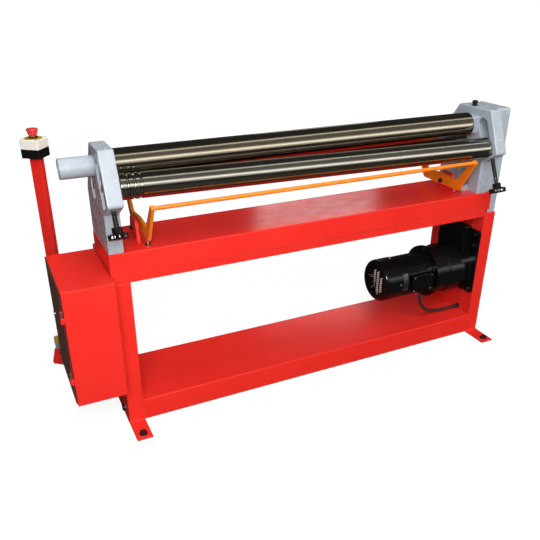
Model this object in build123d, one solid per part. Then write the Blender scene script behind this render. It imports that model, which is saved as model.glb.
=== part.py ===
from build123d import *
import math
import os

os.makedirs("parts", exist_ok=True)

# All sizes are in millimetres. X runs along the rolls towards the drive end from the middle
# of the bed, Y runs to the rear from the bed's front face and Z runs up from the floor.
# The last section moves everything so that the origin is at the middle of the footprint.

# Fits
running_gap = 0.05
slide_gap = 0.3
seat_gap = 0.02

# Bed
bed_length = 1500.0
bed_depth = 232.0
bed_top = 634.0
bed_height = 73.0
bed_wall = 6.0
bed_lip = 22.0
bed_round = 3.0

# Stand
stand_inset = 5.0
stand_front = 3.0
stand_depth = 302.0
post_width = 54.0
post_wall = 3.0
post_round = 3.0
rail_height = 30.0
drive_post_height = 14.0
sheet_round = 1.2
panel_thick = 3.0
foot_thick = 7.0
foot_reach = 100.0
foot_bolt_inset = 24.0
foot_bolt_radius = 6.0
foot_bolt_head = 12.0
foot_bolt_head_height = 8.0
washer_radius = 14.0
washer_thick = 2.0
shelf_top = 84.0
shelf_height = 79.5
shelf_setback = 2.0
shelf_wall = 3.0

# Side housings
housing_thick = 47.0
left_housing_inset = 2.0
drive_housing_inset = 27.0
housing_front = 5.0
housing_depth = 230.0
neck_drop = 192.0
nose_drop = 150.0
nose_reach = 72.0
housing_height = 316.0
housing_top_lead = 8.0
left_top_back = 118.0
drive_top_back = 168.0
rear_slope_angle = 35.0
housing_corner = 10.0
housing_round = 4.0
base_flange_reach = 26.0
base_flange_height = 18.0
base_flange_front = 62.0
base_flange_back = 205.0

# Upper roll
upper_radius = 44.0
upper_y = 74.0
upper_drop = 60.0
upper_journal = 14.0
upper_end_gap = 38.0
roll_end_gap = 4.0
roll_edge = 2.0
bush_wall = 3.0
upper_pad_length = 32.0
upper_pad_front = 22.0
upper_pad_back = 24.0
upper_pad_low = 32.0
upper_pad_high = 30.0
upper_pad_round = 6.0
upper_pad_gap = 0.5
sleeve_radius = 30.5
sleeve_length = 100.0
sleeve_guide = 42.0
sleeve_mouth = 25.0
journal_in_sleeve = 52.0

# Front roll and its screws
front_radius = 39.0
front_journal = 11.0
front_y = -5.0
front_drop = 76.0
front_lean_angle = 25.0
front_left_raise = 26.5
slot_half = 22.5
front_slot_shift = -4.5
front_slot_low = -33.0
front_slot_high = 88.0
block_half = 20.0
block_inset = 1.0
block_outer_inset = 8.0
groove_radius = 4.0
groove_start = 26.0
groove_pitch = 19.5
groove_count = 3
front_screw = 7.5
screw_tip = 5.0
screw_tip_depth = 5.0
left_screw_reach = 114.0
drive_screw_reach = 135.0
knob_hub_radius = 15.5
knob_hub_height = 18.0
knob_height = 19.0
knob_core = 24.0
knob_lobe = 9.5
knob_lobe_sink = 2.0
knob_lobes = 6
knob_socket = 12.0

# Rear roll and its screws
rear_radius = 39.0
rear_journal = 11.0
rear_y = 132.0
rear_drop = 75.0
rear_lean_angle = 16.0
rear_slot_low = -40.0
rear_slot_high = 40.0
rear_screw = 6.0
rear_head_clear = 18.7
rear_head_radius = 11.0
rear_head_height = 10.0
pocket_width = 54.0
pocket_low_height = 20.0
pocket_high_height = 80.0
pocket_depth = 41.0

# Lock bolt on the drive housing
lock_bolt_radius = 6.0
lock_bolt_depth = 26.0
lock_bolt_stand = 9.0
lock_bolt_head = 10.5
lock_bolt_head_height = 11.0
lock_nut_height = 6.0
lock_bolt_y = 100.0
lock_bolt_inset = 14.0

# Trip frame
trip_left_inset = 83.0
trip_drive_inset = 84.0
trip_thick = 10.0
trip_round = 1.2
trip_low_round = 12.0
trip_tip_round = 4.0
trip_pivot_y = 117.0
trip_pivot_height = 35.0
trip_low_height = 22.0
trip_corner = 105.0
trip_tip_out = 178.0
trip_tip_in = 161.0
trip_tip_low = 1.0
trip_tip_high = 10.0
trip_notch = 84.0
trip_notch_height = 58.0
trip_crown_height = 66.0
trip_bar_radius = 6.75
trip_bar_out = 166.0
trip_bar_drop = 36.0
ear_thick = 10.0
ear_gap = 11.0
ear_foot_front = 55.0
ear_foot_back = 42.0
ear_top_front = 36.0
ear_top_back = 22.0
ear_height = 68.0
ear_round = 10.0
pivot_radius = 6.0
pivot_head = 9.5
pivot_drive_head = 7.5
pivot_head_height = 8.0

# Limit switch under the trip frame
switch_y = 39.0
switch_base_radius = 9.0
switch_base_height = 2.0
switch_pin = 4.0
switch_pin_below = 30.0
switch_pin_gap = 0.6

# Motor
motor_y = 130.0
motor_z = 277.0
motor_radius = 84.0
motor_fin_depth = 8.0
motor_fins = 40
motor_shell = 14.0
motor_spigot = 12.0
motor_fin_length = 146.0
motor_nose_length = 26.0
motor_flange = 107.0
motor_flange_thick = 15.0
rotor_radius = 44.0
rotor_air_gap = 0.8
rotor_shaft = 12.0
fan_cover_length = 82.0
fan_cover_wall = 2.0
fan_cover_round = 20.0
fan_slot_length = 22.0
fan_slot_width = 4.5
fan_slot_angle = 40.0
fan_slot_rows = 6
fan_slot_row_pitch = 9.5
fan_slot_columns = 2
fan_slot_column_pitch = 23.0
fan_slot_reach = 57.0
fan_hub = 20.0
fan_radius = 64.0
fan_setback = 14.0
fan_length = 34.0
fan_blades = 7
fan_blade_thick = 3.0
fan_blade_sink = 2.0
terminal_setback = 40.0
terminal_length = 94.0
terminal_reach = 97.0
terminal_depth = 35.0
terminal_drop = 35.0
terminal_tall = 70.0
terminal_round = 4.0

# Gearbox and chain drive
gear_module = 2.5
pinion_teeth = 17
gear_teeth = 51
gear_width = 16.0
gear_backlash = 0.2
pressure_angle = 20.0
gearbox_length = 153.0
gearbox_step = 118.0
gearbox_neck = 94.0
gearbox_neck_length = 4.0
gearbox_ring = 100.0
gearbox_ring_length = 50.0
gearbox_low_radius = 103.0
gearbox_foot = 118.0
gearbox_foot_thick = 13.0
gearbox_foot_drop = 82.0
gearbox_half = 75.0
gearbox_top_height = 118.0
gearbox_round = 10.0
gear_room_gap = 3.5
gear_room_setback = 7.0
gear_room_length = 24.0
plate_thick = 10.0
plate_front = 125.0
plate_back = 93.0
plate_drop = 86.0
plate_tall = 275.0
output_shaft_radius = 14.0
chain_pitch = 15.875
output_sprocket_teeth = 10
roll_sprocket_teeth = 15
sprocket_tip = 4.5
sprocket_root = 5.0
sprocket_width = 9.0
sprocket_out = 41.0
chain_gap = 0.4
chain_thick = 6.0
case_depth_x = 66.0
case_front = 12.0
case_wall = 4.0
case_bed_gap = 2.0
shaft_hole = 20.0

# Motor cable
# The cable's shape is given as shares of its span along X, its sway along Y and its sag
cable_radius = 6.5
cable_inset = 50.0
cable_front = 11.0
cable_sway = 40.0
cable_sag = 133.0
cable_shape = [(0, 0, 0), (0, 0, 0.28), (0.17, 0.381, 0.66), (0.4, 0.81, 0.9)]
cable_shape += [(0.64, 1, 1), (0.85, 0.762, 0.94), (1, 0.762, 0.94)]
gland_radius = 9.0
gland_length = 16.0
panel_gland_length = 13.0
grommet_radius = 12.0
grommet_thick = 7.0
grommet_y = 73.0
grommet_z = 26.0

# Control cabinet
cabinet_gap = 6.0
cabinet_width = 157.0
cabinet_front = -55.0
cabinet_depth = 301.0
cabinet_low = 165.0
cabinet_height = 401.0
cabinet_wall = 2.0
cabinet_lip = 13.0
cabinet_boss = 30.0
door_thick = 3.0
door_gap = 0.4
door_front_gap = 14.0
door_edge_gap = 2.0
hinge_pin = 3.0
hinge_knuckle = 5.5
hinge_out = 6.5
hinge_back = 6.0
hinge_half = 20.0
hinge_low_height = 103.0
hinge_high_drop = 82.0
hinge_leaf = 30.0
gear_plate_thick = 3.0
contactor_size = 45.0
contactor_depth = 70.0
contactor_height = 75.0
contactor_count = 3

# Pedestal
pedestal_in = 50.0
pedestal_behind = 314.0
pedestal_turn_angle = -39.0
base_back = 23.0
base_front = 150.0
base_half = 80.0
base_thick = 6.0
hood_front = 4.0
hood_high = 62.0
hood_top_half = 66.0
hood_top_back = 15.0
tube_long = 42.0
tube_short = 26.0
tube_wall = 2.5
treadle_back = 26.0
treadle_front = 146.0
treadle_half = 68.0
treadle_back_low = 18.0
treadle_front_low = 32.0
treadle_thick = 14.0
treadle_round = 3.0
treadle_pin = 4.0
treadle_pin_x = 34.0
treadle_pin_z = 26.0
cheek_thick = 5.0
cheek_back = 4.0
cheek_front = 48.0
cheek_high = 42.0
cap_x = -3.0
cap_y = -58.0
cap_gland = 8.0
cap_gland_high = 86.0
cap_radius = 11.0
cap_high = 114.0
cap_round = 3.0
stop_box = 70.0
stop_low = 814.0
stop_base_height = 32.0
stop_lid_height = 33.0
stop_wall = 3.0
stop_round = 4.0
stop_rim_round = 2.0
stop_ring = 31.0
stop_ring_thick = 1.2
stop_collar = 14.5
stop_collar_height = 7.8
stop_stem = 9.0
stop_stem_depth = 14.0
stop_head_lift = 12.0
stop_head_height = 21.0
stop_head_radius = 20.0
stop_head_neck = 15.0
stop_head_waist = 17.5

parts = {}


def block(x, y, z):
    size = [side[1] - side[0] for side in (x, y, z)]
    middle = [(side[0] + side[1]) / 2 for side in (x, y, z)]
    return Pos(*middle) * Box(*size)


def bar_x(x_low, x_high, y, z, radius):
    stand = (Align.CENTER, Align.CENTER, Align.MIN)
    return Pos(x_low, y, z) * Rot(0, 90, 0) * Cylinder(radius, x_high - x_low, align=stand)


def bar_z(x, y, z_low, z_high, radius):
    stand = (Align.CENTER, Align.CENTER, Align.MIN)
    return Pos(x, y, z_low) * Cylinder(radius, z_high - z_low, align=stand)


def bar_between(start, end, radius):
    run = Vector(*end) - Vector(*start)
    stand = (Align.CENTER, Align.CENTER, Align.MIN)
    return Plane(start, z_dir=run) * Cylinder(radius, run.length, align=stand)


def side_plane(x, y=0.0, z=0.0, lean=0.0):
    across = (0, math.cos(math.radians(lean)), -math.sin(math.radians(lean)))
    return Plane((x, y, z), x_dir=across, z_dir=(1, 0, 0))


def plate_x(sketch, x_low, x_high, y=0.0, z=0.0, lean=0.0):
    return extrude(side_plane(x_low, y, z, lean) * sketch, x_high - x_low, dir=(1, 0, 0))


def outline(points):
    return Polygon(*points, align=None)


def leaned(y, z, lean, reach):
    turn = math.radians(lean)
    return (y + reach * math.sin(turn), z + reach * math.cos(turn))


def hex_z(x, y, z_low, z_high, radius):
    return Pos(x, y, z_low) * extrude(RegularPolygon(radius, 6), z_high - z_low)


def toothed(teeth, root, tip, root_share, tip_share):
    points = []
    step = 2 * math.pi / teeth
    for tooth in range(teeth):
        for radius, share in ((root, -root_share), (tip, -tip_share), (tip, tip_share), (root, root_share)):
            turn = (tooth + share / 2) * step
            points.append((radius * math.cos(turn), radius * math.sin(turn)))
    return outline(points)


def involute(teeth, turn):
    pitch = gear_module * teeth / 2
    base = pitch * math.cos(math.radians(pressure_angle))
    tip = pitch + 0.9 * gear_module
    root = pitch - 1.2 * gear_module
    start_angle = math.radians(pressure_angle)
    half = math.pi / (2 * teeth) - gear_backlash / (2 * pitch) + math.tan(start_angle) - start_angle
    flank = [(root, half)] if root < base else []
    low = max(root, base)
    for step in range(6):
        radius = low + (tip - low) * step / 5
        roll_angle = math.acos(min(1.0, base / radius))
        flank.append((radius, half - math.tan(roll_angle) + roll_angle))
    points = []
    for tooth in range(teeth):
        middle = turn + 2 * math.pi * tooth / teeth
        spread = [(radius, middle - angle) for radius, angle in flank]
        spread += [(radius, middle + angle) for radius, angle in reversed(flank)]
        points += [(radius * math.cos(angle), radius * math.sin(angle)) for radius, angle in spread]
    return outline(points)


# Levels and planes that several pieces share
bed_end = bed_length / 2
drive_outer = bed_end - drive_housing_inset
drive_face = drive_outer - housing_thick
case_right = drive_outer + case_depth_x
stand_left = stand_inset - bed_end
stand_right = case_right
stand_back = stand_front + stand_depth
left_inner = stand_left + post_width
drive_inner = stand_right - post_width
rail_top = bed_top - bed_height
rail_low = rail_top - rail_height
drive_post_top = rail_low + drive_post_height
panel_front = stand_front + post_width
panel_back = stand_back - post_width
left_outer = -bed_end + left_housing_inset
left_face = left_outer + housing_thick
left_middle = left_outer + housing_thick / 2
drive_middle = drive_face + housing_thick / 2
housing_top = bed_top + housing_height
upper_z = housing_top - upper_drop
front_z = upper_z - front_drop
rear_z = upper_z - rear_drop
rear_fall = rear_z - bed_top - pocket_low_height - rear_head_clear
rear_screw_reach = rear_fall / math.cos(math.radians(rear_lean_angle)) - rear_head_height
trip_bar_height = front_z - trip_bar_drop - bed_top
trip_tip_low_height = trip_bar_height + trip_tip_low
trip_tip_high_height = trip_bar_height + trip_tip_high
housing_back = housing_front + housing_depth
gear_centre = gear_module * (pinion_teeth + gear_teeth) / 2
output_z = motor_z + gear_centre
sprocket_x = drive_outer + sprocket_out
trip_left_x = left_face + trip_left_inset
trip_drive_x = drive_face - trip_drive_inset
switch_x = trip_left_x
plate_x_low = drive_inner - plate_thick
motor_right = plate_x_low - gearbox_length
motor_fin_end = motor_right - motor_nose_length
motor_fin_start = motor_fin_end - motor_fin_length
cabinet_right = stand_left - cabinet_gap
cabinet_left = cabinet_right - cabinet_width
cabinet_back = cabinet_front + cabinet_depth
cabinet_high = cabinet_low + cabinet_height

# Foot plates: flat bars that reach out in front of and behind the posts
foot_ends = (stand_front - foot_reach, stand_back + foot_reach)
foot_middles = (stand_left + post_width / 2, stand_right - post_width / 2)
bolt_rows = (foot_ends[0] + foot_bolt_inset, foot_ends[1] - foot_bolt_inset)
feet = []
foot_bolts = []
for x in foot_middles:
    foot = block((x - post_width / 2, x + post_width / 2), foot_ends, (0, foot_thick))
    for y in bolt_rows:
        foot -= bar_z(x, y, 0, foot_thick, foot_bolt_radius + slide_gap)
        head_low = foot_thick + washer_thick
        bolt = bar_z(x, y, 0, head_low, foot_bolt_radius)
        bolt += bar_z(x, y, foot_thick, head_low, washer_radius)
        bolt += hex_z(x, y, head_low, head_low + foot_bolt_head_height, foot_bolt_head)
        foot_bolts.append(bolt)
    feet.append(fillet(foot.edges().group_by(Axis.Z)[-1].filter_by(GeomType.LINE), sheet_round))
parts["foot_plates"] = Compound(feet)
parts["foot_bolts"] = Compound(foot_bolts)


# Posts: square tubes, those at the drive end standing a little higher beside the rail
def tube_post(x, y, z_high):
    post = block((x, x + post_width), (y, y + post_width), (foot_thick, z_high))
    post = fillet(post.edges().filter_by(Axis.Z), post_round)
    inner = (post_wall, post_width - post_wall)
    room = [(start + inner[0], start + inner[1]) for start in (x, y)]
    return post - block(room[0], room[1], (foot_thick, z_high - post_wall))


posts = []
for y in (stand_front, panel_back):
    posts.append(tube_post(stand_left, y, rail_low))
    posts.append(tube_post(drive_inner, y, drive_post_top))
parts["leg_posts"] = Compound(posts)

# Leg panels: sheets welded between the posts, and the outer cover of the drive leg
panel_y = (panel_front, panel_back)
left_panel = block((stand_left, stand_left + panel_thick), panel_y, (foot_thick, rail_top))
drive_panel = block((drive_inner, drive_inner + panel_thick), panel_y, (foot_thick, rail_top))
drive_panel -= bar_x(drive_inner, drive_inner + panel_thick, motor_y, output_z, shaft_hole)
outer_panel = block((stand_right - panel_thick, stand_right), panel_y, (foot_thick, drive_post_top))
parts["leg_panels"] = Compound([left_panel, drive_panel, outer_panel])

# Top rails: closed tubes along the front and the rear of the stand
rails = []
for y in (stand_front, panel_back):
    rail = block((stand_left, drive_inner), (y, y + post_width), (rail_low, rail_top))
    rail = fillet(rail.edges().filter_by(Axis.X), post_round)
    room_y = (y + post_wall, y + post_width - post_wall)
    room_z = (rail_low + post_wall, rail_top - post_wall)
    rails.append(rail - block((stand_left + post_wall, drive_inner - post_wall), room_y, room_z))
parts["top_rails"] = Compound(rails)

# Shelf: folded tray between the legs
shelf_y = (stand_front + shelf_setback, stand_back - shelf_setback)
shelf_low = shelf_top - shelf_height
shelf = block((left_inner, drive_inner), shelf_y, (shelf_low, shelf_top))
shelf = fillet(shelf.edges().filter_by(Axis.X).group_by(Axis.Z)[-1], post_round)
shelf_room = (shelf_y[0] + shelf_wall, shelf_y[1] - shelf_wall)
parts["shelf"] = shelf - block((left_inner, drive_inner), shelf_room, (shelf_low, shelf_top - shelf_wall))

# Bed: folded box that is open below, with a lip all round that rests on the rails
bed = block((-bed_end, bed_end), (0, bed_depth), (rail_top, bed_top))
bed = fillet(bed.edges().filter_by(Axis.Z) + bed.edges().group_by(Axis.Z)[-1], bed_round)
room_x = (-bed_end + bed_wall, bed_end - bed_wall)
bed -= block(room_x, (bed_wall, bed_depth - bed_wall), (rail_top + bed_wall, bed_top - bed_wall))
lip_x = (-bed_end + bed_lip, bed_end - bed_lip)
bed -= block(lip_x, (bed_lip, bed_depth - bed_lip), (rail_top, rail_top + bed_wall))
bed -= bar_z(switch_x, switch_y, bed_top - bed_wall, bed_top, switch_pin + slide_gap)
parts["bed"] = bed


# Side housings: cast plates with two inclined slots, a nose and a foot flange
def slot_cut(x_low, x_high, y, z, lean, low, high, shift):
    shape = Pos(shift, (low + high) / 2) * Rectangle(2 * slot_half, high - low)
    shape += Pos(shift, high) * Circle(slot_half)
    return plate_x(shape, x_low, x_high, y, z, lean)


def housing(x_low, x_high, top_back, inward, added):
    slope_drop = (housing_back - top_back) / math.tan(math.radians(rear_slope_angle))
    profile = outline([
        (housing_front, bed_top),
        (housing_front, housing_top - neck_drop),
        (housing_front - nose_reach, housing_top - nose_drop),
        (housing_front - housing_top_lead, housing_top),
        (top_back, housing_top),
        (housing_back, housing_top - slope_drop),
        (housing_back, bed_top),
    ])
    profile = fillet([v for v in profile.vertices() if v.Y > bed_top + housing_round], housing_corner)
    body = plate_x(profile, x_low, x_high)
    rims = [e for e in body.faces().filter_by(Axis.X).edges() if e.center().Z > bed_top + housing_round]
    body = fillet(rims, housing_round)
    face = x_high if inward > 0 else x_low
    for piece in added:
        body += piece
    cut = (x_low, x_high)
    front_ends = (front_slot_low, front_slot_high)
    body -= slot_cut(*cut, front_y, front_z, front_lean_angle, *front_ends, front_slot_shift)
    body -= slot_cut(*cut, rear_y, rear_z, rear_lean_angle, rear_slot_low, rear_slot_high, 0)
    body -= bar_x(*cut, upper_y, upper_z, upper_journal + bush_wall)
    middle = (x_low + x_high) / 2
    for y, z, lean, reach_down, radius in (
        (front_y, front_z, front_lean_angle, left_screw_reach, front_screw),
        (rear_y, rear_z, rear_lean_angle, rear_screw_reach, rear_screw),
    ):
        end = leaned(y, z, lean, -reach_down)
        body -= bar_between((middle, y, z), (middle, end[0], end[1]), radius + running_gap)
    pocket_y = leaned(rear_y, rear_z, rear_lean_angle, -rear_screw_reach)[0]
    pocket_x = sorted((face, face - inward * pocket_depth))
    pocket_z = (bed_top + pocket_low_height, bed_top + pocket_high_height)
    body -= block(pocket_x, (pocket_y - pocket_width / 2, pocket_y + pocket_width / 2), pocket_z)
    return body


parts["left_housing"] = housing(left_outer, left_face, left_top_back, 1, [])
flange_y = (base_flange_front, base_flange_back)
flange_z = (bed_top, bed_top + base_flange_height)
base_flange = block((drive_face - base_flange_reach, drive_face), flange_y, flange_z)
pad_x = (drive_face - upper_pad_length, drive_face)
pad_y = (upper_y - upper_pad_front, upper_y + upper_pad_back)
upper_pad = block(pad_x, pad_y, (upper_z - upper_pad_low, upper_z + upper_pad_high))
upper_pad = fillet(upper_pad.edges().filter_by(Axis.X), upper_pad_round)
upper_pad = fillet(upper_pad.faces().sort_by(Axis.X)[0].edges(), roll_edge)
drive_housing = housing(drive_face, drive_outer, drive_top_back, -1, [base_flange, upper_pad])
drive_housing -= bar_x(*pad_x, upper_y, upper_z, upper_journal + upper_pad_gap)
lock_x = drive_face + lock_bolt_inset
lock_low = housing_top - lock_bolt_depth
drive_housing -= bar_z(lock_x, lock_bolt_y, lock_low, housing_top, lock_bolt_radius + running_gap)
parts["right_housing"] = drive_housing

# Lock bolt: hex bolt with a lock nut on top of the drive housing
lock_head_low = housing_top + lock_bolt_stand
lock_bolt = bar_z(lock_x, lock_bolt_y, lock_low, lock_head_low, lock_bolt_radius)
lock_bolt += hex_z(lock_x, lock_bolt_y, housing_top, housing_top + lock_nut_height, lock_bolt_head)
lock_head_high = lock_head_low + lock_bolt_head_height
lock_bolt += hex_z(lock_x, lock_bolt_y, lock_head_low, lock_head_high, lock_bolt_head)
parts["lock_bolt"] = lock_bolt

# Chain case: hollow cover against the drive housing that reaches down beside the bed end
case_inner = bed_end + case_bed_gap
case_slope = (housing_back - drive_top_back) / math.tan(math.radians(rear_slope_angle))
case_profile = outline([
    (case_front, bed_top),
    (case_front, housing_top),
    (drive_top_back, housing_top),
    (housing_back, housing_top - case_slope),
    (housing_back, bed_top),
])
case_corners = [v for v in case_profile.vertices() if v.Y > bed_top + housing_round]
case_profile = fillet(case_corners, housing_corner)
case_body = plate_x(case_profile, drive_outer, case_right)
case_face = case_body.faces().sort_by(Axis.X)[-1]
case_rims = [e for e in case_face.edges() if e.center().Z > bed_top + housing_round]
case_body = fillet(case_rims, housing_round)
case_body += block((case_inner, case_right), (case_front, housing_back), (drive_post_top, bed_top))
case_room = offset(case_profile, -case_wall)
case_body -= plate_x(case_room, drive_outer, case_right - case_wall)
low_room_x = (case_inner + case_wall, case_right - case_wall)
low_room_y = (case_front + case_wall, housing_back - case_wall)
case_body -= block(low_room_x, low_room_y, (drive_post_top, bed_top + 2 * case_wall))
parts["chain_case"] = case_body

# Upper roll: body with a short journal into the sleeve and a long one through the drive housing
body_left = left_face + roll_end_gap
upper_right = drive_face - upper_end_gap
upper_body = bar_x(body_left, upper_right, upper_y, upper_z, upper_radius)
upper_body = fillet(upper_body.edges().sort_by(Axis.X)[-1], 2 * roll_edge)
upper_body += bar_x(left_outer - journal_in_sleeve, body_left, upper_y, upper_z, upper_journal)
shaft_end = sprocket_x + sprocket_width
upper_body += bar_x(upper_right, shaft_end, upper_y, upper_z, upper_journal)
parts["upper_roll"] = upper_body

# Upper roll bushes: bronze rings in the two housings
bushes = []
for bush_x in ((left_outer, left_face), (drive_face, drive_outer)):
    ring = bar_x(*bush_x, upper_y, upper_z, upper_journal + bush_wall)
    bushes.append(ring - bar_x(*bush_x, upper_y, upper_z, upper_journal + running_gap))
parts["upper_roll_bushes"] = Compound(bushes)

# Sleeve: pull-off tube on the free journal, with a wide mouth at its outer end
sleeve_end = left_outer - sleeve_length
sleeve_right = left_outer - slide_gap
sleeve = bar_x(sleeve_end, sleeve_right, upper_y, upper_z, sleeve_radius)
sleeve = fillet(sleeve.edges().filter_by(GeomType.CIRCLE), roll_edge)
sleeve -= bar_x(sleeve_end, sleeve_right, upper_y, upper_z, upper_journal + running_gap)
sleeve -= bar_x(sleeve_end, left_outer - sleeve_guide, upper_y, upper_z, sleeve_mouth)
parts["upper_sleeve"] = sleeve

# Front roll: its drive end stands lower in the slot than its left end
front_left_y, front_left_z = leaned(front_y, front_z, front_lean_angle, front_left_raise)


def front_axis(x):
    share = (drive_middle - x) / (drive_middle - left_middle)
    y = front_y + share * (front_left_y - front_y)
    z = front_z + share * (front_left_z - front_z)
    return (x, y, z)


front_right = drive_face - roll_end_gap
front_body = bar_between(front_axis(body_left), front_axis(front_right), front_radius)
front_body = fillet(front_body.edges().filter_by(GeomType.CIRCLE), roll_edge)
front_run = Vector(*front_axis(drive_middle)) - Vector(*front_axis(left_middle))
for groove in range(groove_count):
    place = front_axis(left_face + groove_start + groove * groove_pitch)
    front_body -= Plane(place, z_dir=front_run) * Torus(front_radius, groove_radius)
journal_left = left_outer + 2 * block_inset
journal_right = drive_outer - 2 * block_inset
front_body += bar_between(front_axis(journal_left), front_axis(journal_right), front_journal)
parts["front_roll"] = front_body

# Rear roll: plain, level bending roll
rear_body = bar_x(body_left, front_right, rear_y, rear_z, rear_radius)
rear_body = fillet(rear_body.edges().filter_by(GeomType.CIRCLE), roll_edge)
rear_body += bar_x(journal_left, journal_right, rear_y, rear_z, rear_journal)
parts["rear_roll"] = rear_body


# Bearing blocks: slide in the slots, with a socket below for the tip of the setting screw
def bearing_block(side, y, z, lean, shift, bore):
    shape = Pos(shift, 0) * Rectangle(2 * (slot_half - slide_gap), 2 * block_half)
    slider = plate_x(shape, side[0], side[1], y, z, lean) - bore
    middle = side[2]
    start = leaned(y, z, lean, -block_half)
    end = leaned(y, z, lean, screw_tip_depth - block_half)
    socket = bar_between((middle, *start), (middle, *end), screw_tip + running_gap)
    return slider - socket


front_bore = bar_between(front_axis(left_outer), front_axis(drive_outer), front_journal + running_gap)
rear_bore = bar_x(left_outer, drive_outer, rear_y, rear_z, rear_journal + running_gap)
left_side = (left_outer + block_outer_inset, left_face - block_inset, left_middle)
drive_side = (drive_face + block_inset, drive_outer - block_outer_inset, drive_middle)
left_front = (left_side, front_left_y, front_left_z, front_lean_angle, front_slot_shift)
drive_front = (drive_side, front_y, front_z, front_lean_angle, front_slot_shift)
parts["front_left_block"] = bearing_block(*left_front, front_bore)
parts["front_right_block"] = bearing_block(*drive_front, front_bore)
parts["rear_left_block"] = bearing_block(left_side, rear_y, rear_z, rear_lean_angle, 0, rear_bore)
parts["rear_right_block"] = bearing_block(drive_side, rear_y, rear_z, rear_lean_angle, 0, rear_bore)


# Setting screws: a tip in the block, then the thread; the knob or head is at the lower end
def setting_screw(x, y, z, lean, reach, radius):
    tip_start = leaned(y, z, lean, screw_tip_depth - slide_gap - block_half)
    shoulder = leaned(y, z, lean, -slide_gap - block_half)
    end = leaned(y, z, lean, -reach)
    tip = bar_between((x, *tip_start), (x, *shoulder), screw_tip)
    return tip + bar_between((x, *shoulder), (x, *end), radius)


def star_knob(x, y, z, lean, reach):
    start = leaned(y, z, lean, -reach)
    ahead = leaned(y, z, lean, -reach - 1)
    down = (0, ahead[0] - start[0], ahead[1] - start[1])
    star = Circle(knob_core)
    for lobe in range(knob_lobes):
        star += Rot(0, 0, 360 * lobe / knob_lobes) * Pos(knob_core - knob_lobe_sink, 0) * Circle(knob_lobe)
    knob = extrude(star, knob_height)
    knob = chamfer(knob.faces().filter_by(Axis.Z).edges(), roll_edge)
    stand = (Align.CENTER, Align.CENTER, Align.MIN)
    knob = Pos(0, 0, knob_hub_height) * knob
    knob += Cylinder(knob_hub_radius, knob_hub_height, align=stand)
    knob -= Cylinder(front_screw + seat_gap, knob_socket, align=stand)
    return Plane((x, *start), z_dir=down) * knob


for side, x, y, z, reach in (
    ("left", left_middle, front_left_y, front_left_z, left_screw_reach),
    ("right", drive_middle, front_y, front_z, drive_screw_reach),
):
    screw_end = reach + knob_socket
    parts[f"front_{side}_screw"] = setting_screw(x, y, z, front_lean_angle, screw_end, front_screw)
    parts[f"front_{side}_knob"] = star_knob(x, y, z, front_lean_angle, reach)
for side, x in (("left", left_middle), ("right", drive_middle)):
    screw = setting_screw(x, rear_y, rear_z, rear_lean_angle, rear_screw_reach, rear_screw)
    start = leaned(rear_y, rear_z, rear_lean_angle, -rear_screw_reach)
    ahead = leaned(rear_y, rear_z, rear_lean_angle, -rear_screw_reach - 1)
    down = (0, ahead[0] - start[0], ahead[1] - start[1])
    head = extrude(RegularPolygon(rear_head_radius, 6), rear_head_height)
    parts[f"rear_{side}_screw"] = screw + Plane((x, *start), z_dir=down) * head

# Trip frame: two rocker plates joined by a front bar and a rear bar
half_points = [
    (-trip_tip_out, trip_tip_low_height),
    (-trip_corner, trip_low_height),
    (trip_corner, trip_low_height),
    (trip_tip_out, trip_tip_low_height),
    (trip_tip_in, trip_tip_high_height),
    (trip_notch, trip_notch_height),
    (0, trip_crown_height),
    (-trip_notch, trip_notch_height),
    (-trip_tip_in, trip_tip_high_height),
]
trip_shape = outline([(trip_pivot_y + out, bed_top + height) for out, height in half_points])
rear_low = trip_shape.vertices().sort_by_distance((trip_pivot_y + trip_corner, bed_top + trip_low_height))
trip_shape = fillet(rear_low[0], trip_low_round)
tips = [v for v in trip_shape.vertices() if v.Y > bed_top + (trip_tip_low_height + trip_notch_height) / 2]
trip_shape = fillet(tips, trip_tip_round)
pivot_z = bed_top + trip_pivot_height
for side, x in (("left", trip_left_x), ("right", trip_drive_x)):
    wide = (x - trip_thick / 2, x + trip_thick / 2)
    plate = plate_x(trip_shape, *wide)
    plate = fillet(plate.faces().filter_by(Axis.X).edges(), trip_round)
    parts[f"trip_{side}_plate"] = plate - bar_x(*wide, trip_pivot_y, pivot_z, pivot_radius + running_gap)
bar_ends = (trip_left_x + trip_thick / 2, trip_drive_x - trip_thick / 2)
trip_bars = []
for out in (-trip_bar_out, trip_bar_out):
    trip_bars.append(bar_x(*bar_ends, trip_pivot_y + out, bed_top + trip_bar_height, trip_bar_radius))
parts["trip_bars"] = Compound(trip_bars)

# Ears and pivot bolts that carry the trip frame on the bed
ear_shape = outline([
    (trip_pivot_y - ear_foot_front, bed_top),
    (trip_pivot_y + ear_foot_back, bed_top),
    (trip_pivot_y + ear_top_back, bed_top + ear_height),
    (trip_pivot_y - ear_top_front, bed_top + ear_height),
])
ear_shape = fillet([v for v in ear_shape.vertices() if v.Y > bed_top + ear_round], ear_round)
left_ear_right = trip_left_x - trip_thick / 2 - ear_gap
drive_ear_left = trip_drive_x + trip_thick / 2 + ear_gap
ears = []
for low in (left_ear_right - ear_thick, drive_ear_left):
    ear = plate_x(ear_shape, low, low + ear_thick)
    ears.append(ear - bar_x(low, low + ear_thick, trip_pivot_y, pivot_z, pivot_radius + seat_gap))
parts["trip_ears"] = Compound(ears)
left_head = left_ear_right - ear_thick
left_bolt = bar_x(left_head, trip_left_x + trip_thick / 2, trip_pivot_y, pivot_z, pivot_radius)
left_bolt += bar_x(left_head - pivot_head_height, left_head, trip_pivot_y, pivot_z, pivot_head)
drive_head = trip_drive_x - trip_thick / 2 - slide_gap
drive_bolt = bar_x(drive_head, drive_ear_left + ear_thick, trip_pivot_y, pivot_z, pivot_radius)
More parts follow.
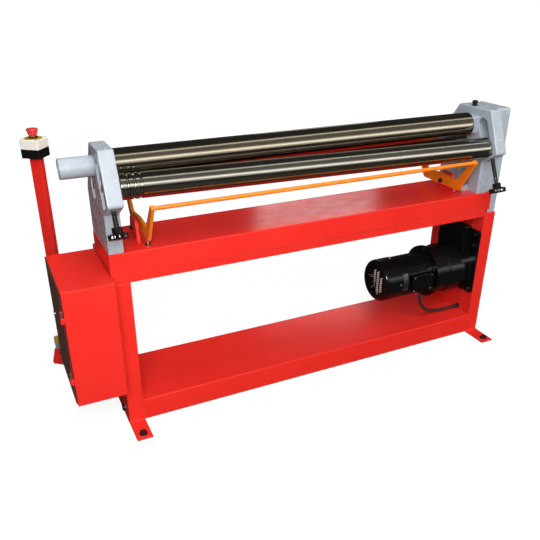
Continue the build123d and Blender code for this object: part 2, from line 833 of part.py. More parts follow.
drive_bolt += bar_x(drive_head - pivot_head_height, drive_head, trip_pivot_y, pivot_z, pivot_drive_head)
parts["trip_pivot_bolts"] = Compound([left_bolt, drive_bolt])

# Limit switch: base on the bed and the pin under the left rocker plate
base_high = bed_top + switch_base_height
switch_base = bar_z(switch_x, switch_y, bed_top, base_high, switch_base_radius)
parts["switch_base"] = switch_base - bar_z(switch_x, switch_y, bed_top, base_high, switch_pin + running_gap)
pin_high = bed_top + trip_low_height - switch_pin_gap
parts["switch_plunger"] = bar_z(switch_x, switch_y, bed_top - switch_pin_below, pin_high, switch_pin)


# Motor: finned frame with a round flange towards the gearbox
def motor_bar(x_low, x_high, radius):
    return bar_x(x_low, x_high, motor_y, motor_z, radius)


motor_left = motor_fin_start - motor_spigot
fan_cover_left = motor_fin_start - fan_cover_length
fan_start = fan_cover_left + fan_setback
gearbox_left = motor_right + gearbox_step
gear_room_left = gearbox_left + gear_room_setback
fins = toothed(motor_fins, motor_radius - motor_fin_depth, motor_radius, 0.62, 0.42)
motor_body = plate_x(fins, motor_fin_start, motor_fin_end, motor_y, motor_z)
motor_body += motor_bar(motor_left, motor_fin_start, motor_radius - seat_gap)
motor_body += motor_bar(motor_fin_end, motor_right - motor_flange_thick, motor_radius)
motor_body += motor_bar(motor_right - motor_flange_thick, motor_right, motor_flange)
rotor_room = (motor_fin_start + motor_shell / 2, motor_fin_end - motor_shell / 2)
motor_body -= motor_bar(*rotor_room, rotor_radius + rotor_air_gap)
motor_body -= motor_bar(motor_left, motor_right, rotor_shaft + running_gap)
parts["motor_body"] = motor_body

# Rotor: core and shaft, with the pinion at the gearbox end
gear_left = gear_room_left + (gear_room_length - gear_width) / 2
shaft_right = gear_room_left + gear_room_length - slide_gap
rotor = motor_bar(rotor_room[0] + motor_shell / 2, rotor_room[1] - motor_shell / 2, rotor_radius)
rotor += motor_bar(fan_start, shaft_right, rotor_shaft)
rotor += plate_x(involute(pinion_teeth, math.pi / 2), gear_left, gear_left + gear_width, motor_y, motor_z)
parts["motor_rotor"] = rotor

# Fan: hub with straight blades on the rotor shaft
fan_end = fan_start + fan_length
fan = motor_bar(fan_start, fan_end, fan_hub)
blade_start = fan_hub - fan_blade_sink
blade = Pos((blade_start + fan_radius) / 2, 0) * Rectangle(fan_radius - blade_start, fan_blade_thick)
for turn in range(fan_blades):
    fan += plate_x(Rot(0, 0, 360 * turn / fan_blades) * blade, fan_start, fan_end, motor_y, motor_z)
parts["motor_fan"] = fan - motor_bar(fan_start, fan_end, rotor_shaft + seat_gap)

# Fan cover: drawn cap with columns of short slanted slots in its end
cover_radius = motor_radius + fan_cover_wall
cover = motor_bar(fan_cover_left, motor_fin_start, cover_radius)
cover = fillet(cover.edges().sort_by(Axis.X)[0], fan_cover_round)
cover_room = motor_bar(fan_cover_left + fan_cover_wall, motor_fin_start, motor_radius)
cover -= fillet(cover_room.edges().sort_by(Axis.X)[0], fan_cover_round - fan_cover_wall)
slots = Sketch()
for column in range(-fan_slot_columns, fan_slot_columns + 1):
    for row in range(-fan_slot_rows, fan_slot_rows + 1):
        place = (column * fan_slot_column_pitch, row * fan_slot_row_pitch)
        if math.hypot(*place) < fan_slot_reach:
            turned = Pos(*place) * Rot(0, 0, -fan_slot_angle)
            slots += turned * Rectangle(fan_slot_length, fan_slot_width)
cover -= plate_x(slots, fan_cover_left, fan_cover_left + fan_cover_wall, motor_y, motor_z)
parts["fan_cover"] = cover

# Terminal box, seated on the motor frame
motor_seat = motor_bar(motor_fin_start, motor_right, motor_radius)
terminal_left = motor_fin_start + terminal_setback
terminal_right = terminal_left + terminal_length
terminal_y = (motor_y - terminal_reach, motor_y - terminal_reach + terminal_depth)
terminal_low = motor_z - terminal_drop
terminal_high = terminal_low + terminal_tall
terminal = block((terminal_left, terminal_right), terminal_y, (terminal_low, terminal_high))
terminal = fillet(terminal.edges().group_by(Axis.Y)[0] + terminal.edges().filter_by(Axis.Y), terminal_round)
parts["terminal_box"] = terminal - motor_seat

# Gearbox: stepped round body at the motor, square at the output shaft, with a foot on the mounting plate
ring_left = motor_right + gearbox_neck_length
ring_right = ring_left + gearbox_ring_length
gearbox = motor_bar(motor_right, ring_left, gearbox_neck)
gearbox += motor_bar(ring_left, ring_right, gearbox_ring)
gearbox += motor_bar(ring_right, plate_x_low, gearbox_low_radius)
foot_x = (plate_x_low - gearbox_foot_thick, plate_x_low)
foot_y = (motor_y - gearbox_foot, motor_y + plate_back)
foot_room = block(foot_x, foot_y, (motor_z - gearbox_foot_drop, motor_z + gearbox_foot))
gearbox += motor_bar(*foot_x, gearbox_foot) & foot_room
gearbox_y = (motor_y - gearbox_half, motor_y + gearbox_half)
upper_box = block((gearbox_left, plate_x_low), gearbox_y, (motor_z, output_z + gearbox_top_height))
gearbox += fillet(upper_box.edges().group_by(Axis.Z)[-1], gearbox_round)
gear_tip = gear_module * (gear_teeth / 2 + 1)
pinion_tip = gear_module * (pinion_teeth / 2 + 1)
gear_room_x = (gear_room_left, gear_room_left + gear_room_length)
gearbox -= bar_x(*gear_room_x, motor_y, output_z, gear_tip + gear_room_gap)
gearbox -= motor_bar(*gear_room_x, pinion_tip + gear_room_gap)
gearbox -= motor_bar(motor_right, gear_room_left, rotor_shaft + running_gap)
output_start = gearbox_left + (gear_room_left - gearbox_left) / 3
gearbox -= bar_x(output_start, plate_x_low, motor_y, output_z, output_shaft_radius + running_gap)
parts["gearbox_body"] = gearbox
plate_y = (motor_y - plate_front, motor_y + plate_back)
plate_z = (motor_z - plate_drop, motor_z - plate_drop + plate_tall)
mount_plate = block((plate_x_low, drive_inner), plate_y, plate_z)
mount_plate = fillet(mount_plate.edges().filter_by(Axis.X), gearbox_round)
mount_plate = fillet(mount_plate.faces().sort_by(Axis.X)[0].edges(), sheet_round)
parts["gearbox_plate"] = mount_plate - bar_x(plate_x_low, drive_inner, motor_y, output_z, shaft_hole)

# Output shaft with its gear; a gap between two of its teeth faces the pinion
output_end = sprocket_x + sprocket_width
output_shaft = bar_x(output_start + slide_gap, output_end, motor_y, output_z, output_shaft_radius)
gear_turn = -math.pi / 2 + math.pi / gear_teeth
gear_shape = involute(gear_teeth, gear_turn)
output_shaft += plate_x(gear_shape, gear_left, gear_left + gear_width, motor_y, output_z)
parts["output_shaft"] = output_shaft


# Sprockets and the chain loop round them
def sprocket(teeth, y, z, bore):
    pitch = chain_pitch / (2 * math.sin(math.pi / teeth))
    shape = toothed(teeth, pitch - sprocket_root, pitch + sprocket_tip, 0.5, 0.2)
    low = sprocket_x - sprocket_width / 2
    high = sprocket_x + sprocket_width / 2
    return plate_x(shape, low, high, y, z) - bar_x(low, high, y, z, bore + seat_gap)


parts["output_sprocket"] = sprocket(output_sprocket_teeth, motor_y, output_z, output_shaft_radius)
parts["roll_sprocket"] = sprocket(roll_sprocket_teeth, upper_y, upper_z, upper_journal)


def chain_hull(extra):
    rings = []
    wheels = ((output_sprocket_teeth, motor_y, output_z), (roll_sprocket_teeth, upper_y, upper_z))
    for teeth, y, z in wheels:
        pitch = chain_pitch / (2 * math.sin(math.pi / teeth))
        rings += (Pos(y, z) * Circle(pitch + sprocket_tip + extra)).edges()
    return make_hull(rings)


chain_shape = chain_hull(chain_gap + chain_thick) - chain_hull(chain_gap)
chain_x = (sprocket_x - sprocket_width / 2, sprocket_x + sprocket_width / 2)
parts["drive_chain"] = plate_x(chain_shape, *chain_x)

# Motor cable: hangs from the terminal box to the gland on the drive leg panel
cable_start = (terminal_left + cable_inset, terminal_y[0] + cable_front, terminal_low - gland_length)
cable_span = drive_inner - panel_gland_length - cable_start[0]
cable_run = []
for along, across, down in cable_shape:
    over = (along * cable_span, across * cable_sway, -down * cable_sag)
    cable_run.append(tuple(start + step for start, step in zip(cable_start, over)))
bend_radii = []
for before, corner, after in zip(cable_run, cable_run[1:], cable_run[2:]):
    first = Vector(*corner) - Vector(*before)
    second = Vector(*after) - Vector(*corner)
    half_turn = math.radians(first.get_angle(second)) / 2
    bend_radii.append(0.45 * min(first.length, second.length) / math.tan(half_turn))
cable_path = FilletPolyline(*cable_run, radius=bend_radii)
cable_face = Plane(cable_run[0], z_dir=cable_path % 0) * Circle(cable_radius)
parts["motor_cable"] = sweep(cable_face, path=cable_path)
print("cable bend radii", [round(radius, 1) for radius in bend_radii])
print("cable run", [tuple(round(v, 2) for v in point) for point in cable_run])
cable_section = math.pi * cable_radius**2
print("cable volume", parts["motor_cable"].volume, "section x length", cable_section * cable_path.length)

# Cable entries: gland under the terminal box, gland and grommet on the leg panels
cable_end = cable_run[-1]
gland_high = hex_z(cable_start[0], cable_start[1], cable_start[2], terminal_low, gland_radius)
gland_low = bar_x(cable_end[0], drive_inner, cable_end[1], cable_end[2], gland_radius)
grommet = bar_x(stand_left - grommet_thick, stand_left, grommet_y, grommet_z, grommet_radius)
parts["cable_glands"] = Compound([gland_high, gland_low, grommet])

# Control cabinet: folded shell, open on its left, fixed to the left leg by four bosses
cabinet_y = (cabinet_front, cabinet_back)
cabinet_z = (cabinet_low, cabinet_high)
shell = block((cabinet_left, cabinet_right), cabinet_y, cabinet_z)
shell = fillet(shell.edges(), sheet_round)
shell_y = (cabinet_front + cabinet_wall, cabinet_back - cabinet_wall)
shell_z = (cabinet_low + cabinet_wall, cabinet_high - cabinet_wall)
shell -= block((cabinet_left + cabinet_wall, cabinet_right - cabinet_wall), shell_y, shell_z)
mouth_y = (cabinet_front + cabinet_lip, cabinet_back - cabinet_lip)
mouth_z = (cabinet_low + cabinet_lip, cabinet_high - cabinet_lip)
shell -= block((cabinet_left, cabinet_left + cabinet_wall), mouth_y, mouth_z)
for y in (panel_front + cabinet_boss, cabinet_back - cabinet_boss):
    for z in (cabinet_low + cabinet_boss, cabinet_high - 2 * cabinet_boss):
        boss_y = (y - cabinet_boss / 2, y + cabinet_boss / 2)
        boss_z = (z - cabinet_boss / 2, z + cabinet_boss / 2)
        shell += block((cabinet_right, stand_left), boss_y, boss_z)
parts["cabinet_shell"] = shell

# Door and its two lift-off hinges at the front edge
door_right = cabinet_left - door_gap
door_left = door_right - door_thick
door_y = (cabinet_front + door_front_gap, cabinet_back - door_edge_gap)
door_z = (cabinet_low + door_edge_gap, cabinet_high - door_edge_gap)
door = block((door_left, door_right), door_y, door_z)
door = fillet(door.faces().sort_by(Axis.X)[0].edges(), sheet_round)
hinge_x = cabinet_left - hinge_out
hinge_y = cabinet_front + hinge_back
hinges = []
for z in (cabinet_low + hinge_low_height, cabinet_high - hinge_high_drop):
    low = (z - hinge_half, z - slide_gap)
    high = (z, z + hinge_half)
    fixed = bar_z(hinge_x, hinge_y, *low, hinge_knuckle)
    fixed += block((hinge_x, cabinet_left), (hinge_y - hinge_knuckle, hinge_y + hinge_knuckle), low)
    hinges.append(fixed + bar_z(hinge_x, hinge_y, z - hinge_half, z + hinge_half, hinge_pin))
    door += bar_z(hinge_x, hinge_y, *high, hinge_knuckle)
    door += block((hinge_x, door_left), (hinge_y, hinge_y + hinge_leaf), high)
    door -= bar_z(hinge_x, hinge_y, *high, hinge_pin + running_gap)
parts["cabinet_door"] = door
parts["door_hinges"] = Compound(hinges)

# Control gear: a back plate in the cabinet with a row of contactors
gear_wall = cabinet_right - cabinet_wall
gear_y = (cabinet_front + 2 * cabinet_lip, cabinet_back - 2 * cabinet_lip)
gear_z = (cabinet_low + 2 * cabinet_lip, cabinet_high - 2 * cabinet_lip)
control_gear = [block((gear_wall - gear_plate_thick, gear_wall), gear_y, gear_z)]
contactor_x = (gear_wall - gear_plate_thick - contactor_depth, gear_wall - gear_plate_thick)
contactor_middle = (cabinet_low + cabinet_high) / 2
for row in range(contactor_count):
    y = (gear_y[0] + gear_y[1]) / 2 + (row - (contactor_count - 1) / 2) * 1.3 * contactor_size
    contactor_y = (y - contactor_size / 2, y + contactor_size / 2)
    contactor_z = (contactor_middle - contactor_height / 2, contactor_middle + contactor_height / 2)
    control_gear.append(block(contactor_x, contactor_y, contactor_z))
parts["control_gear"] = Compound(control_gear)

# Pedestal: stands by itself, turned about the upright; its own X axis points to the foot
pedestal_x = cabinet_left + pedestal_in
pedestal_y = cabinet_back + pedestal_behind
stop_split = stop_low + stop_base_height
stop_top = stop_split + stop_lid_height
stop_head_low = stop_top + stop_head_lift
pedestal = Location((pedestal_x, pedestal_y, 0), (0, 0, pedestal_turn_angle))


def pedestal_bar(x_low, x_high, y_low, y_high, z_low, z_high):
    return block((x_low, x_high), (y_low, y_high), (z_low, z_high))


# Pedal base: floor plate, hood round the upright and two cheeks with the treadle pin
base = pedestal_bar(-base_back, base_front, -base_half, base_half, 0, base_thick)
base = fillet(base.edges().filter_by(Axis.Z), base_thick)
hood_low = Plane((0, 0, base_thick)) * Pos((hood_front - base_back) / 2, 0)
hood_face = hood_low * Rectangle(hood_front + base_back, 2 * base_half)
hood_lid = Plane((0, 0, hood_high)) * Pos((hood_front - hood_top_back) / 2, 0)
hood_lid = hood_lid * Rectangle(hood_front + hood_top_back, 2 * hood_top_half)
base += loft([hood_face, hood_lid])
base += pedestal_bar(0, tube_long / 2 + tube_wall, -tube_short, tube_short, base_thick, hood_high)
for side in (-1, 1):
    cheek = sorted((side * (base_half - cheek_thick), side * base_half))
    base += pedestal_bar(cheek_back, cheek_front, *cheek, base_thick, cheek_high)
pin_run = ((treadle_pin_x, -base_half, treadle_pin_z), (treadle_pin_x, base_half, treadle_pin_z))
base += bar_between(*pin_run, treadle_pin)
tube_x = (-tube_long / 2, tube_long / 2)
tube_y = (-tube_short / 2, tube_short / 2)
base -= pedestal_bar(*tube_x, *tube_y, base_thick, hood_high)
parts["pedal_base"] = pedestal * base

# Treadle: wedge-shaped pad that turns on the pin
treadle_shape = Polygon(
    (treadle_back, treadle_back_low),
    (treadle_front, treadle_front_low),
    (treadle_front, treadle_front_low + treadle_thick),
    (treadle_back, treadle_back_low + treadle_thick),
    align=None,
)
treadle = extrude(Plane.XZ * treadle_shape, treadle_half, both=True)
treadle = fillet(treadle.edges().filter_by(Axis.Y) + treadle.edges().group_by(Axis.X)[-1], treadle_round)
treadle = treadle - bar_between(*pin_run, treadle_pin + running_gap)
parts["pedal_treadle"] = pedestal * treadle

# Cable gland with a cap, on the hood beside the upright
gland = bar_z(cap_x, cap_y, hood_high, cap_gland_high, cap_gland)
cap = bar_z(cap_x, cap_y, cap_gland_high, cap_high, cap_radius)
cap = fillet(cap.edges().group_by(Axis.Z)[-1], cap_round)
parts["pedal_cap"] = Compound([pedestal * gland, pedestal * cap])

# Upright: rectangular tube from the base to the stop box
upright = pedestal_bar(*tube_x, *tube_y, base_thick, stop_low)
upright = fillet(upright.edges().filter_by(Axis.Z), tube_wall)
inner_x = (tube_x[0] + tube_wall, tube_x[1] - tube_wall)
inner_y = (tube_y[0] + tube_wall, tube_y[1] - tube_wall)
upright -= pedestal_bar(*inner_x, *inner_y, base_thick, stop_low)
parts["pedestal_post"] = pedestal * upright


# Emergency stop box: dark lower half, light lid, ring with collar, and the mushroom button
def stop_half(z_low, z_high, room_low, room_high, rim):
    half = stop_box / 2
    shape = pedestal_bar(-half, half, -half, half, z_low, z_high)
    shape = fillet(shape.edges().filter_by(Axis.Z), stop_round)
    shape = fillet(shape.edges().group_by(Axis.Z)[rim], stop_rim_round)
    room = half - stop_wall
    return shape - pedestal_bar(-room, room, -room, room, room_low, room_high)


parts["estop_base"] = pedestal * stop_half(stop_low, stop_split, stop_low + stop_wall, stop_split, 0)
lid = stop_half(stop_split, stop_top, stop_split, stop_top - stop_wall, -1)
stem_bore = bar_z(0, 0, stop_split, stop_head_low, stop_stem + running_gap)
parts["estop_lid"] = pedestal * (lid - stem_bore)
ring = bar_z(0, 0, stop_top, stop_top + stop_ring_thick, stop_ring)
ring += bar_z(0, 0, stop_top, stop_top + stop_collar_height, stop_collar)
parts["estop_ring"] = pedestal * (ring - stem_bore)
button = bar_z(0, 0, stop_split - stop_stem_depth, stop_head_low, stop_stem)
cone_height = 0.6 * stop_head_height
stand = (Align.CENTER, Align.CENTER, Align.MIN)
head = Cone(stop_head_neck, stop_head_waist, cone_height, align=stand)
crown = bar_z(0, 0, cone_height, stop_head_height, stop_head_radius)
head += fillet(crown.edges().filter_by(GeomType.CIRCLE), (stop_head_height - cone_height) / 3)
parts["estop_button"] = pedestal * (button + Pos(0, 0, stop_head_low) * head)

# Move everything so that the origin is on the floor at the middle of the footprint
whole = Compound([shape for name, shape in parts.items() if name != "motor_cable"]).bounding_box()
shift = (-(whole.min.X + whole.max.X) / 2, -(whole.min.Y + whole.max.Y) / 2, -whole.min.Z)
for name, shape in parts.items():
    export_step(Pos(*shift) * shape, f"parts/{name}.step")


# Places of the joints in the moved frame
def moved(label, x, y, z):
    print(label, [round(v, 3) for v in (x + shift[0], y + shift[1], z + shift[2])])


print("nodes", len(parts), "shift", [round(v, 4) for v in shift], "size", whole.size)
moved("upper roll", 0, upper_y, upper_z)
moved("front roll", *front_axis(0))
print("front roll direction", [round(v, 6) for v in front_run.normalized()])
moved("front left screw", left_middle, front_left_y, front_left_z)
moved("front right screw", drive_middle, front_y, front_z)
moved("rear left screw", left_middle, rear_y, rear_z)
moved("rear right screw", drive_middle, rear_y, rear_z)
moved("trip pivot", 0, trip_pivot_y, pivot_z)
moved("motor", 0, motor_y, motor_z)
moved("output", 0, motor_y, output_z)
moved("door hinge", hinge_x, hinge_y, (cabinet_low + cabinet_high) / 2)
treadle_place = (pedestal * Pos(treadle_pin_x, 0, treadle_pin_z)).position
moved("treadle pin", *treadle_place)
moved("stop button", pedestal_x, pedestal_y, stop_top)
moved("left foot", foot_middles[0], (foot_ends[0] + foot_ends[1]) / 2, 0)
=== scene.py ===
import math
import bmesh
import bpy
from mathutils import Matrix, Vector


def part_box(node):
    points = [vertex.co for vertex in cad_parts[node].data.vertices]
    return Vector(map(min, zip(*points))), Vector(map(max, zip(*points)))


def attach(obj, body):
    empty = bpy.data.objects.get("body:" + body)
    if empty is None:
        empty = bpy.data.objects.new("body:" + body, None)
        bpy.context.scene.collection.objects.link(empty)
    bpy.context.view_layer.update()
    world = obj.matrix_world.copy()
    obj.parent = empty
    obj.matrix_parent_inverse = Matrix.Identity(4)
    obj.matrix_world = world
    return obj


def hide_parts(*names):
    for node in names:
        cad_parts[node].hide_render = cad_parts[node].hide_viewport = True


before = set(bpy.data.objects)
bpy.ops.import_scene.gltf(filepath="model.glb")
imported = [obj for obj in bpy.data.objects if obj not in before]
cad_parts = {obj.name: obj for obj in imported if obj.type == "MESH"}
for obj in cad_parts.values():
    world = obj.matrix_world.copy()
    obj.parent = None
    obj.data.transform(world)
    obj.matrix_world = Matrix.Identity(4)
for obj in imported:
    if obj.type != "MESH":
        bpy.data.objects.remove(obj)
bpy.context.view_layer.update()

bed_low, bed_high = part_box("bed")


def at(x, y, z):
    return Vector(((bed_low.x + bed_high.x) / 2 + x / 1000, bed_low.y + y / 1000, z / 1000))


# Camera: the photograph's viewpoint, in front of the machine's left end and above its rolls. The
# three angles turn it to the right, down and about its own axis.
photo_lens = bpy.data.cameras.new("camera")
photo_lens.sensor_width = 36.0
photo_lens.lens = 42.0086
photo_lens.shift_x = -0.003364
photo_lens.shift_y = 0.04238
camera = bpy.data.objects.new("camera", photo_lens)
bpy.context.scene.collection.objects.link(camera)
yaw, pitch, roll = -0.449, -0.4654, 0.0049
stood = Matrix.Translation(at(-1061.577, -1775.132, 1383.531))
aim = Matrix.Rotation(yaw, 4, "Z") @ Matrix.Rotation(math.pi / 2 + pitch, 4, "X")
camera.matrix_world = stood @ aim @ Matrix.Rotation(roll, 4, "Z")
bpy.context.scene.camera = camera
bpy.context.scene.view_settings.view_transform = "Standard"


# Motor cable: a black rubber-sheathed cable, clamped in the gland under the terminal box. It hangs
# in one slack bend and goes back into the machine through the gland on the drive leg.
def add(tree, kind, inputs=None, **settings):
    node = tree.nodes.new(kind)
    for key, value in settings.items():
        setattr(node, key, value)
    for key, value in (inputs or {}).items():
        if isinstance(value, bpy.types.NodeSocket):
            tree.links.new(value, node.inputs[key])
        else:
            node.inputs[key].default_value = value
    return node


def new_finish(name, colour, roughness, metallic=0.0):
    finish = bpy.data.materials.new(name)
    finish.use_nodes = True
    shader = finish.node_tree.nodes["Principled BSDF"]
    shader.inputs["Base Color"].default_value = (*colour, 1)
    shader.inputs["Roughness"].default_value = roughness
    shader.inputs["Metallic"].default_value = metallic
    return finish, finish.node_tree, shader


def shader_group(name, inputs, outputs):
    group = bpy.data.node_groups.new(name, "ShaderNodeTree")
    for label, kind, value in inputs:
        socket = group.interface.new_socket(label, in_out="INPUT", socket_type=kind)
        if value is not None:
            socket.default_value = value
    for label, kind in outputs:
        group.interface.new_socket(label, in_out="OUTPUT", socket_type=kind)
    return group, add(group, "NodeGroupInput").outputs, add(group, "NodeGroupOutput").inputs


# Grain: a fine bump over the surface and two slow noises, one for its tone and one for its gloss.
grain, given, made = shader_group(
    "grain",
    [
        ("Size", "NodeSocketFloat", 0.002),
        ("Depth", "NodeSocketFloat", 0.0001),
        ("Normal", "NodeSocketVector", None),
    ],
    [("Normal", "NodeSocketVector"), ("Tone", "NodeSocketFloat"), ("Gloss", "NodeSocketFloat")],
)
place = add(grain, "ShaderNodeTexCoord").outputs["Object"]
density = add(grain, "ShaderNodeMath", {0: 1.0, 1: given["Size"]}, operation="DIVIDE").outputs[0]
fine = add(grain, "ShaderNodeTexNoise", {"Vector": place, "Scale": density, "Detail": 2.0})
film = add(
    grain,
    "ShaderNodeBump",
    {"Distance": given["Depth"], "Height": fine.outputs["Fac"], "Normal": given["Normal"]},
)
slow = add(
    grain, "ShaderNodeTexNoise", {"Vector": place, "Scale": 5.0, "Detail": 4.0, "Roughness": 0.6}
)
patchy = add(
    grain, "ShaderNodeTexNoise", {"Vector": place, "Scale": 23.0, "Detail": 5.0, "Roughness": 0.65}
)
grain.links.new(film.outputs["Normal"], made["Normal"])
grain.links.new(slow.outputs["Fac"], made["Tone"])
grain.links.new(patchy.outputs["Fac"], made["Gloss"])


def spread(tree, value, low, high):
    span = {"Value": value, "From Min": 0.3, "From Max": 0.7, "To Min": low, "To Max": high}
    return add(tree, "ShaderNodeMapRange", span).outputs["Result"]


def blended(tree, share, first, second):
    return add(tree, "ShaderNodeMix", {0: share, 6: first, 7: second}, data_type="RGBA").outputs[2]


cable_rubber, nodes, shader = new_finish("cable_rubber", (0.012, 0.012, 0.013), 0.5)
skin = add(nodes, "ShaderNodeGroup", {"Size": 0.0012, "Depth": 0.00015}, node_tree=grain)
scuff = blended(
    nodes,
    spread(nodes, skin.outputs["Gloss"], 0.0, 0.5),
    (0.010, 0.010, 0.011, 1),
    (0.030, 0.029, 0.028, 1),
)
nodes.links.new(scuff, shader.inputs["Base Color"])
nodes.links.new(spread(nodes, skin.outputs["Gloss"], 0.42, 0.6), shader.inputs["Roughness"])
nodes.links.new(skin.outputs["Normal"], shader.inputs["Normal"])

cable_route = [(490, 44, 226), (490, 44, 189), (529.5, 59, 138), (583, 76.5, 106), (638.5, 84, 93)]
cable_route += [(687, 74.5, 101), (722, 74.5, 101)]
cable_diameter = 0.013
cable_line = bpy.data.curves.new("cable_sheath", "CURVE")
cable_line.dimensions = "3D"
cable_line.resolution_u = 16
cable_line.bevel_depth = cable_diameter / 2
cable_line.bevel_resolution = 5
cable_line.use_fill_caps = True
run = cable_line.splines.new("NURBS")
run.points.add(len(cable_route) - 1)
for point, stop in zip(run.points, cable_route):
    point.co = (*at(*stop), 1)
run.order_u = 3
run.use_endpoint_u = True
cable_line.materials.append(cable_rubber)
cable = bpy.data.objects.new("cable_sheath", cable_line)
bpy.context.scene.collection.objects.link(cable)
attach(cable, "frame")
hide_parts("motor_cable")

# Floor and light: a pale studio floor with no visible end, a lamp and a small flash beside the
# camera, a long softbox low in front that lies along the rolls as their highlight, a thin strip
# above and a window behind. Mirrored in metal, the room is dark, and the floor is a painted dark
# reflection: its colour drops to near black for mirrored rays only.
floor_paint, nodes, shader = new_finish("floor", (0.20, 0.20, 0.20), 0.9)
rays = add(nodes, "ShaderNodeLightPath").outputs
spot = add(nodes, "ShaderNodeTexCoord").outputs["Object"]
away = add(nodes, "ShaderNodeVectorMath", {0: spot}, operation="LENGTH").outputs["Value"]
pale = add(
    nodes,
    "ShaderNodeMapRange",
    {"Value": away, "From Min": 1.0, "From Max": 4.0, "To Min": 0.88, "To Max": 1.0},
).outputs["Result"]
glow = add(
    nodes, "ShaderNodeMath", {0: rays["Is Camera Ray"], 1: pale}, operation="MULTIPLY"
).outputs[0]
# Painted reflection: the floor's colour is 0.20 for other rays and 0.06 for mirrored rays, so metal
# shows a dark floor.
painted_dark_reflection = blended(
    nodes, rays["Is Glossy Ray"], (0.20, 0.20, 0.20, 1), (0.06, 0.058, 0.052, 1)
)
nodes.links.new(painted_dark_reflection, shader.inputs["Base Color"])
shader.inputs["Specular IOR Level"].default_value = 0.0
shader.inputs["Emission Color"].default_value = (1, 1, 1, 1)
nodes.links.new(glow, shader.inputs["Emission Strength"])
floor_mesh = bpy.data.meshes.new("floor")
floor_reach = 400
floor_corners = [
    (x * floor_reach, y * floor_reach, 0) for x, y in ((-1, -1), (1, -1), (1, 1), (-1, 1))
]
floor_mesh.from_pydata(floor_corners, [], [(0, 1, 2, 3)])
floor_mesh.materials.append(floor_paint)
floor = bpy.data.objects.new("floor", floor_mesh)
bpy.context.scene.collection.objects.link(floor)

room = bpy.data.worlds.new("room")
bpy.context.scene.world = room
room.use_nodes = True
air = room.node_tree
way = add(
    air, "ShaderNodeSeparateXYZ", {0: add(air, "ShaderNodeTexCoord").outputs["Generated"]}
).outputs
before = add(
    air, "ShaderNodeMapRange", {"Value": way["Y"], "From Min": -0.05, "From Max": -0.45}
).outputs["Result"]
walls = blended(air, before, (0.05, 0.049, 0.046, 1), (0.24, 0.228, 0.20, 1))
clear = add(air, "ShaderNodeLightPath").outputs["Is Camera Ray"]
air.links.new(blended(air, clear, walls, (1, 1, 1, 1)), air.nodes["Background"].inputs["Color"])


def lamp(name, place, target, length, width, watts, colour, tilt=0.0, mirrored=True, lights=True):
    light = bpy.data.lights.new(name, "AREA")
    light.shape = "RECTANGLE"
    light.size = length
    light.size_y = width
    light.energy = watts
    light.color = colour
    body = bpy.data.objects.new(name, light)
    bpy.context.scene.collection.objects.link(body)
    turn = (target - place).to_track_quat("-Z", "Y").to_matrix().to_4x4()
    tilted = Matrix.Rotation(math.radians(tilt), 4, "Z")
    body.matrix_world = Matrix.Translation(place) @ turn @ tilted
    body.visible_glossy = mirrored
    body.visible_diffuse = lights


lamp(
    "key_lamp",
    at(-1450, -2050, 1650),
    at(0, 0, 500),
    length=0.9,
    width=0.9,
    watts=42,
    colour=(1.0, 0.98, 0.96),
)
lamp(
    "flash",
    at(-1250, -1900, 1600),
    at(0, 0, 600),
    length=0.3,
    width=0.3,
    watts=60,
    colour=(1.0, 1.0, 1.0),
    lights=False,
)
lamp(
    "fill_lamp",
    at(-300, -2300, 3000),
    at(0, 100, 400),
    length=2.2,
    width=1.6,
    watts=80,
    colour=(1.0, 0.98, 0.96),
    mirrored=False,
)
lamp(
    "top_lamp",
    at(-100, 600, 3300),
    at(-100, 150, 500),
    length=2.4,
    width=1.6,
    watts=36,
    colour=(1.0, 0.99, 0.98),
    mirrored=False,
)
lamp(
    "front_lamp",
    at(2750, -5000, 2300),
    at(2750, 0, 2300),
    length=6.6,
    width=1.1,
    watts=46,
    colour=(1.0, 0.97, 0.90),
    tilt=-18,
)
lamp(
    "front_haze",
    at(2750, -5200, 2300),
    at(2750, 0, 2300),
    length=7.0,
    width=3.0,
    watts=56,
    colour=(1.0, 0.95, 0.85),
    tilt=-18,
)
lamp(
    "over_lamp",
    at(1250, -700, 3100),
    at(1250, 70, 900),
    length=4.4,
    width=0.4,
    watts=8.5,
    colour=(1.0, 0.95, 0.84),
)
lamp(
    "window_lamp",
    at(2900, 5130, 2700),
    at(0, 100, 634),
    length=1.55,
    width=0.7,
    watts=6.2,
    colour=(1.0, 0.98, 0.98),
)


# Feet: two flat steel bars under the legs, sheared, drilled and painted red with the stand. Each is
# held to the floor by two black hexagon bolts on washers.
# Edge wear and painted edge highlight: a Bevel normal finds the rounded edges, and there the paint
# is mixed towards a lighter colour, broken up by noise; the lighter colour is partly wear and
# partly a painted highlight on the edges.
wear_and_glint_group, given, made = shader_group(
    "edge_wear_and_glint",
    [("Radius", "NodeSocketFloat", 0.001)],
    [("Edge", "NodeSocketFloat"), ("Normal", "NodeSocketVector")],
)
rounding = add(wear_and_glint_group, "ShaderNodeBevel", {"Radius": given["Radius"]}, samples=6).outputs["Normal"]
flat = add(wear_and_glint_group, "ShaderNodeNewGeometry").outputs["Normal"]
turned_off = add(
    wear_and_glint_group, "ShaderNodeVectorMath", {0: rounding, 1: flat}, operation="DOT_PRODUCT"
).outputs["Value"]
edge = add(
    wear_and_glint_group, "ShaderNodeMapRange", {"Value": turned_off, "From Min": 0.995, "From Max": 0.80}
).outputs["Result"]
broken = add(
    wear_and_glint_group,
    "ShaderNodeTexNoise",
    {"Vector": add(wear_and_glint_group, "ShaderNodeTexCoord").outputs["Object"], "Scale": 90.0, "Detail": 6.0},
)
kept = add(
    wear_and_glint_group, "ShaderNodeMapRange", {"Value": broken.outputs["Fac"], "From Min": 0.38, "From Max": 0.62}
).outputs["Result"]
wear_and_glint_mask = add(wear_and_glint_group, "ShaderNodeMath", {0: edge, 1: kept}, operation="MULTIPLY").outputs[0]
wear_and_glint_group.links.new(wear_and_glint_mask, made["Edge"])
wear_and_glint_group.links.new(rounding, made["Normal"])


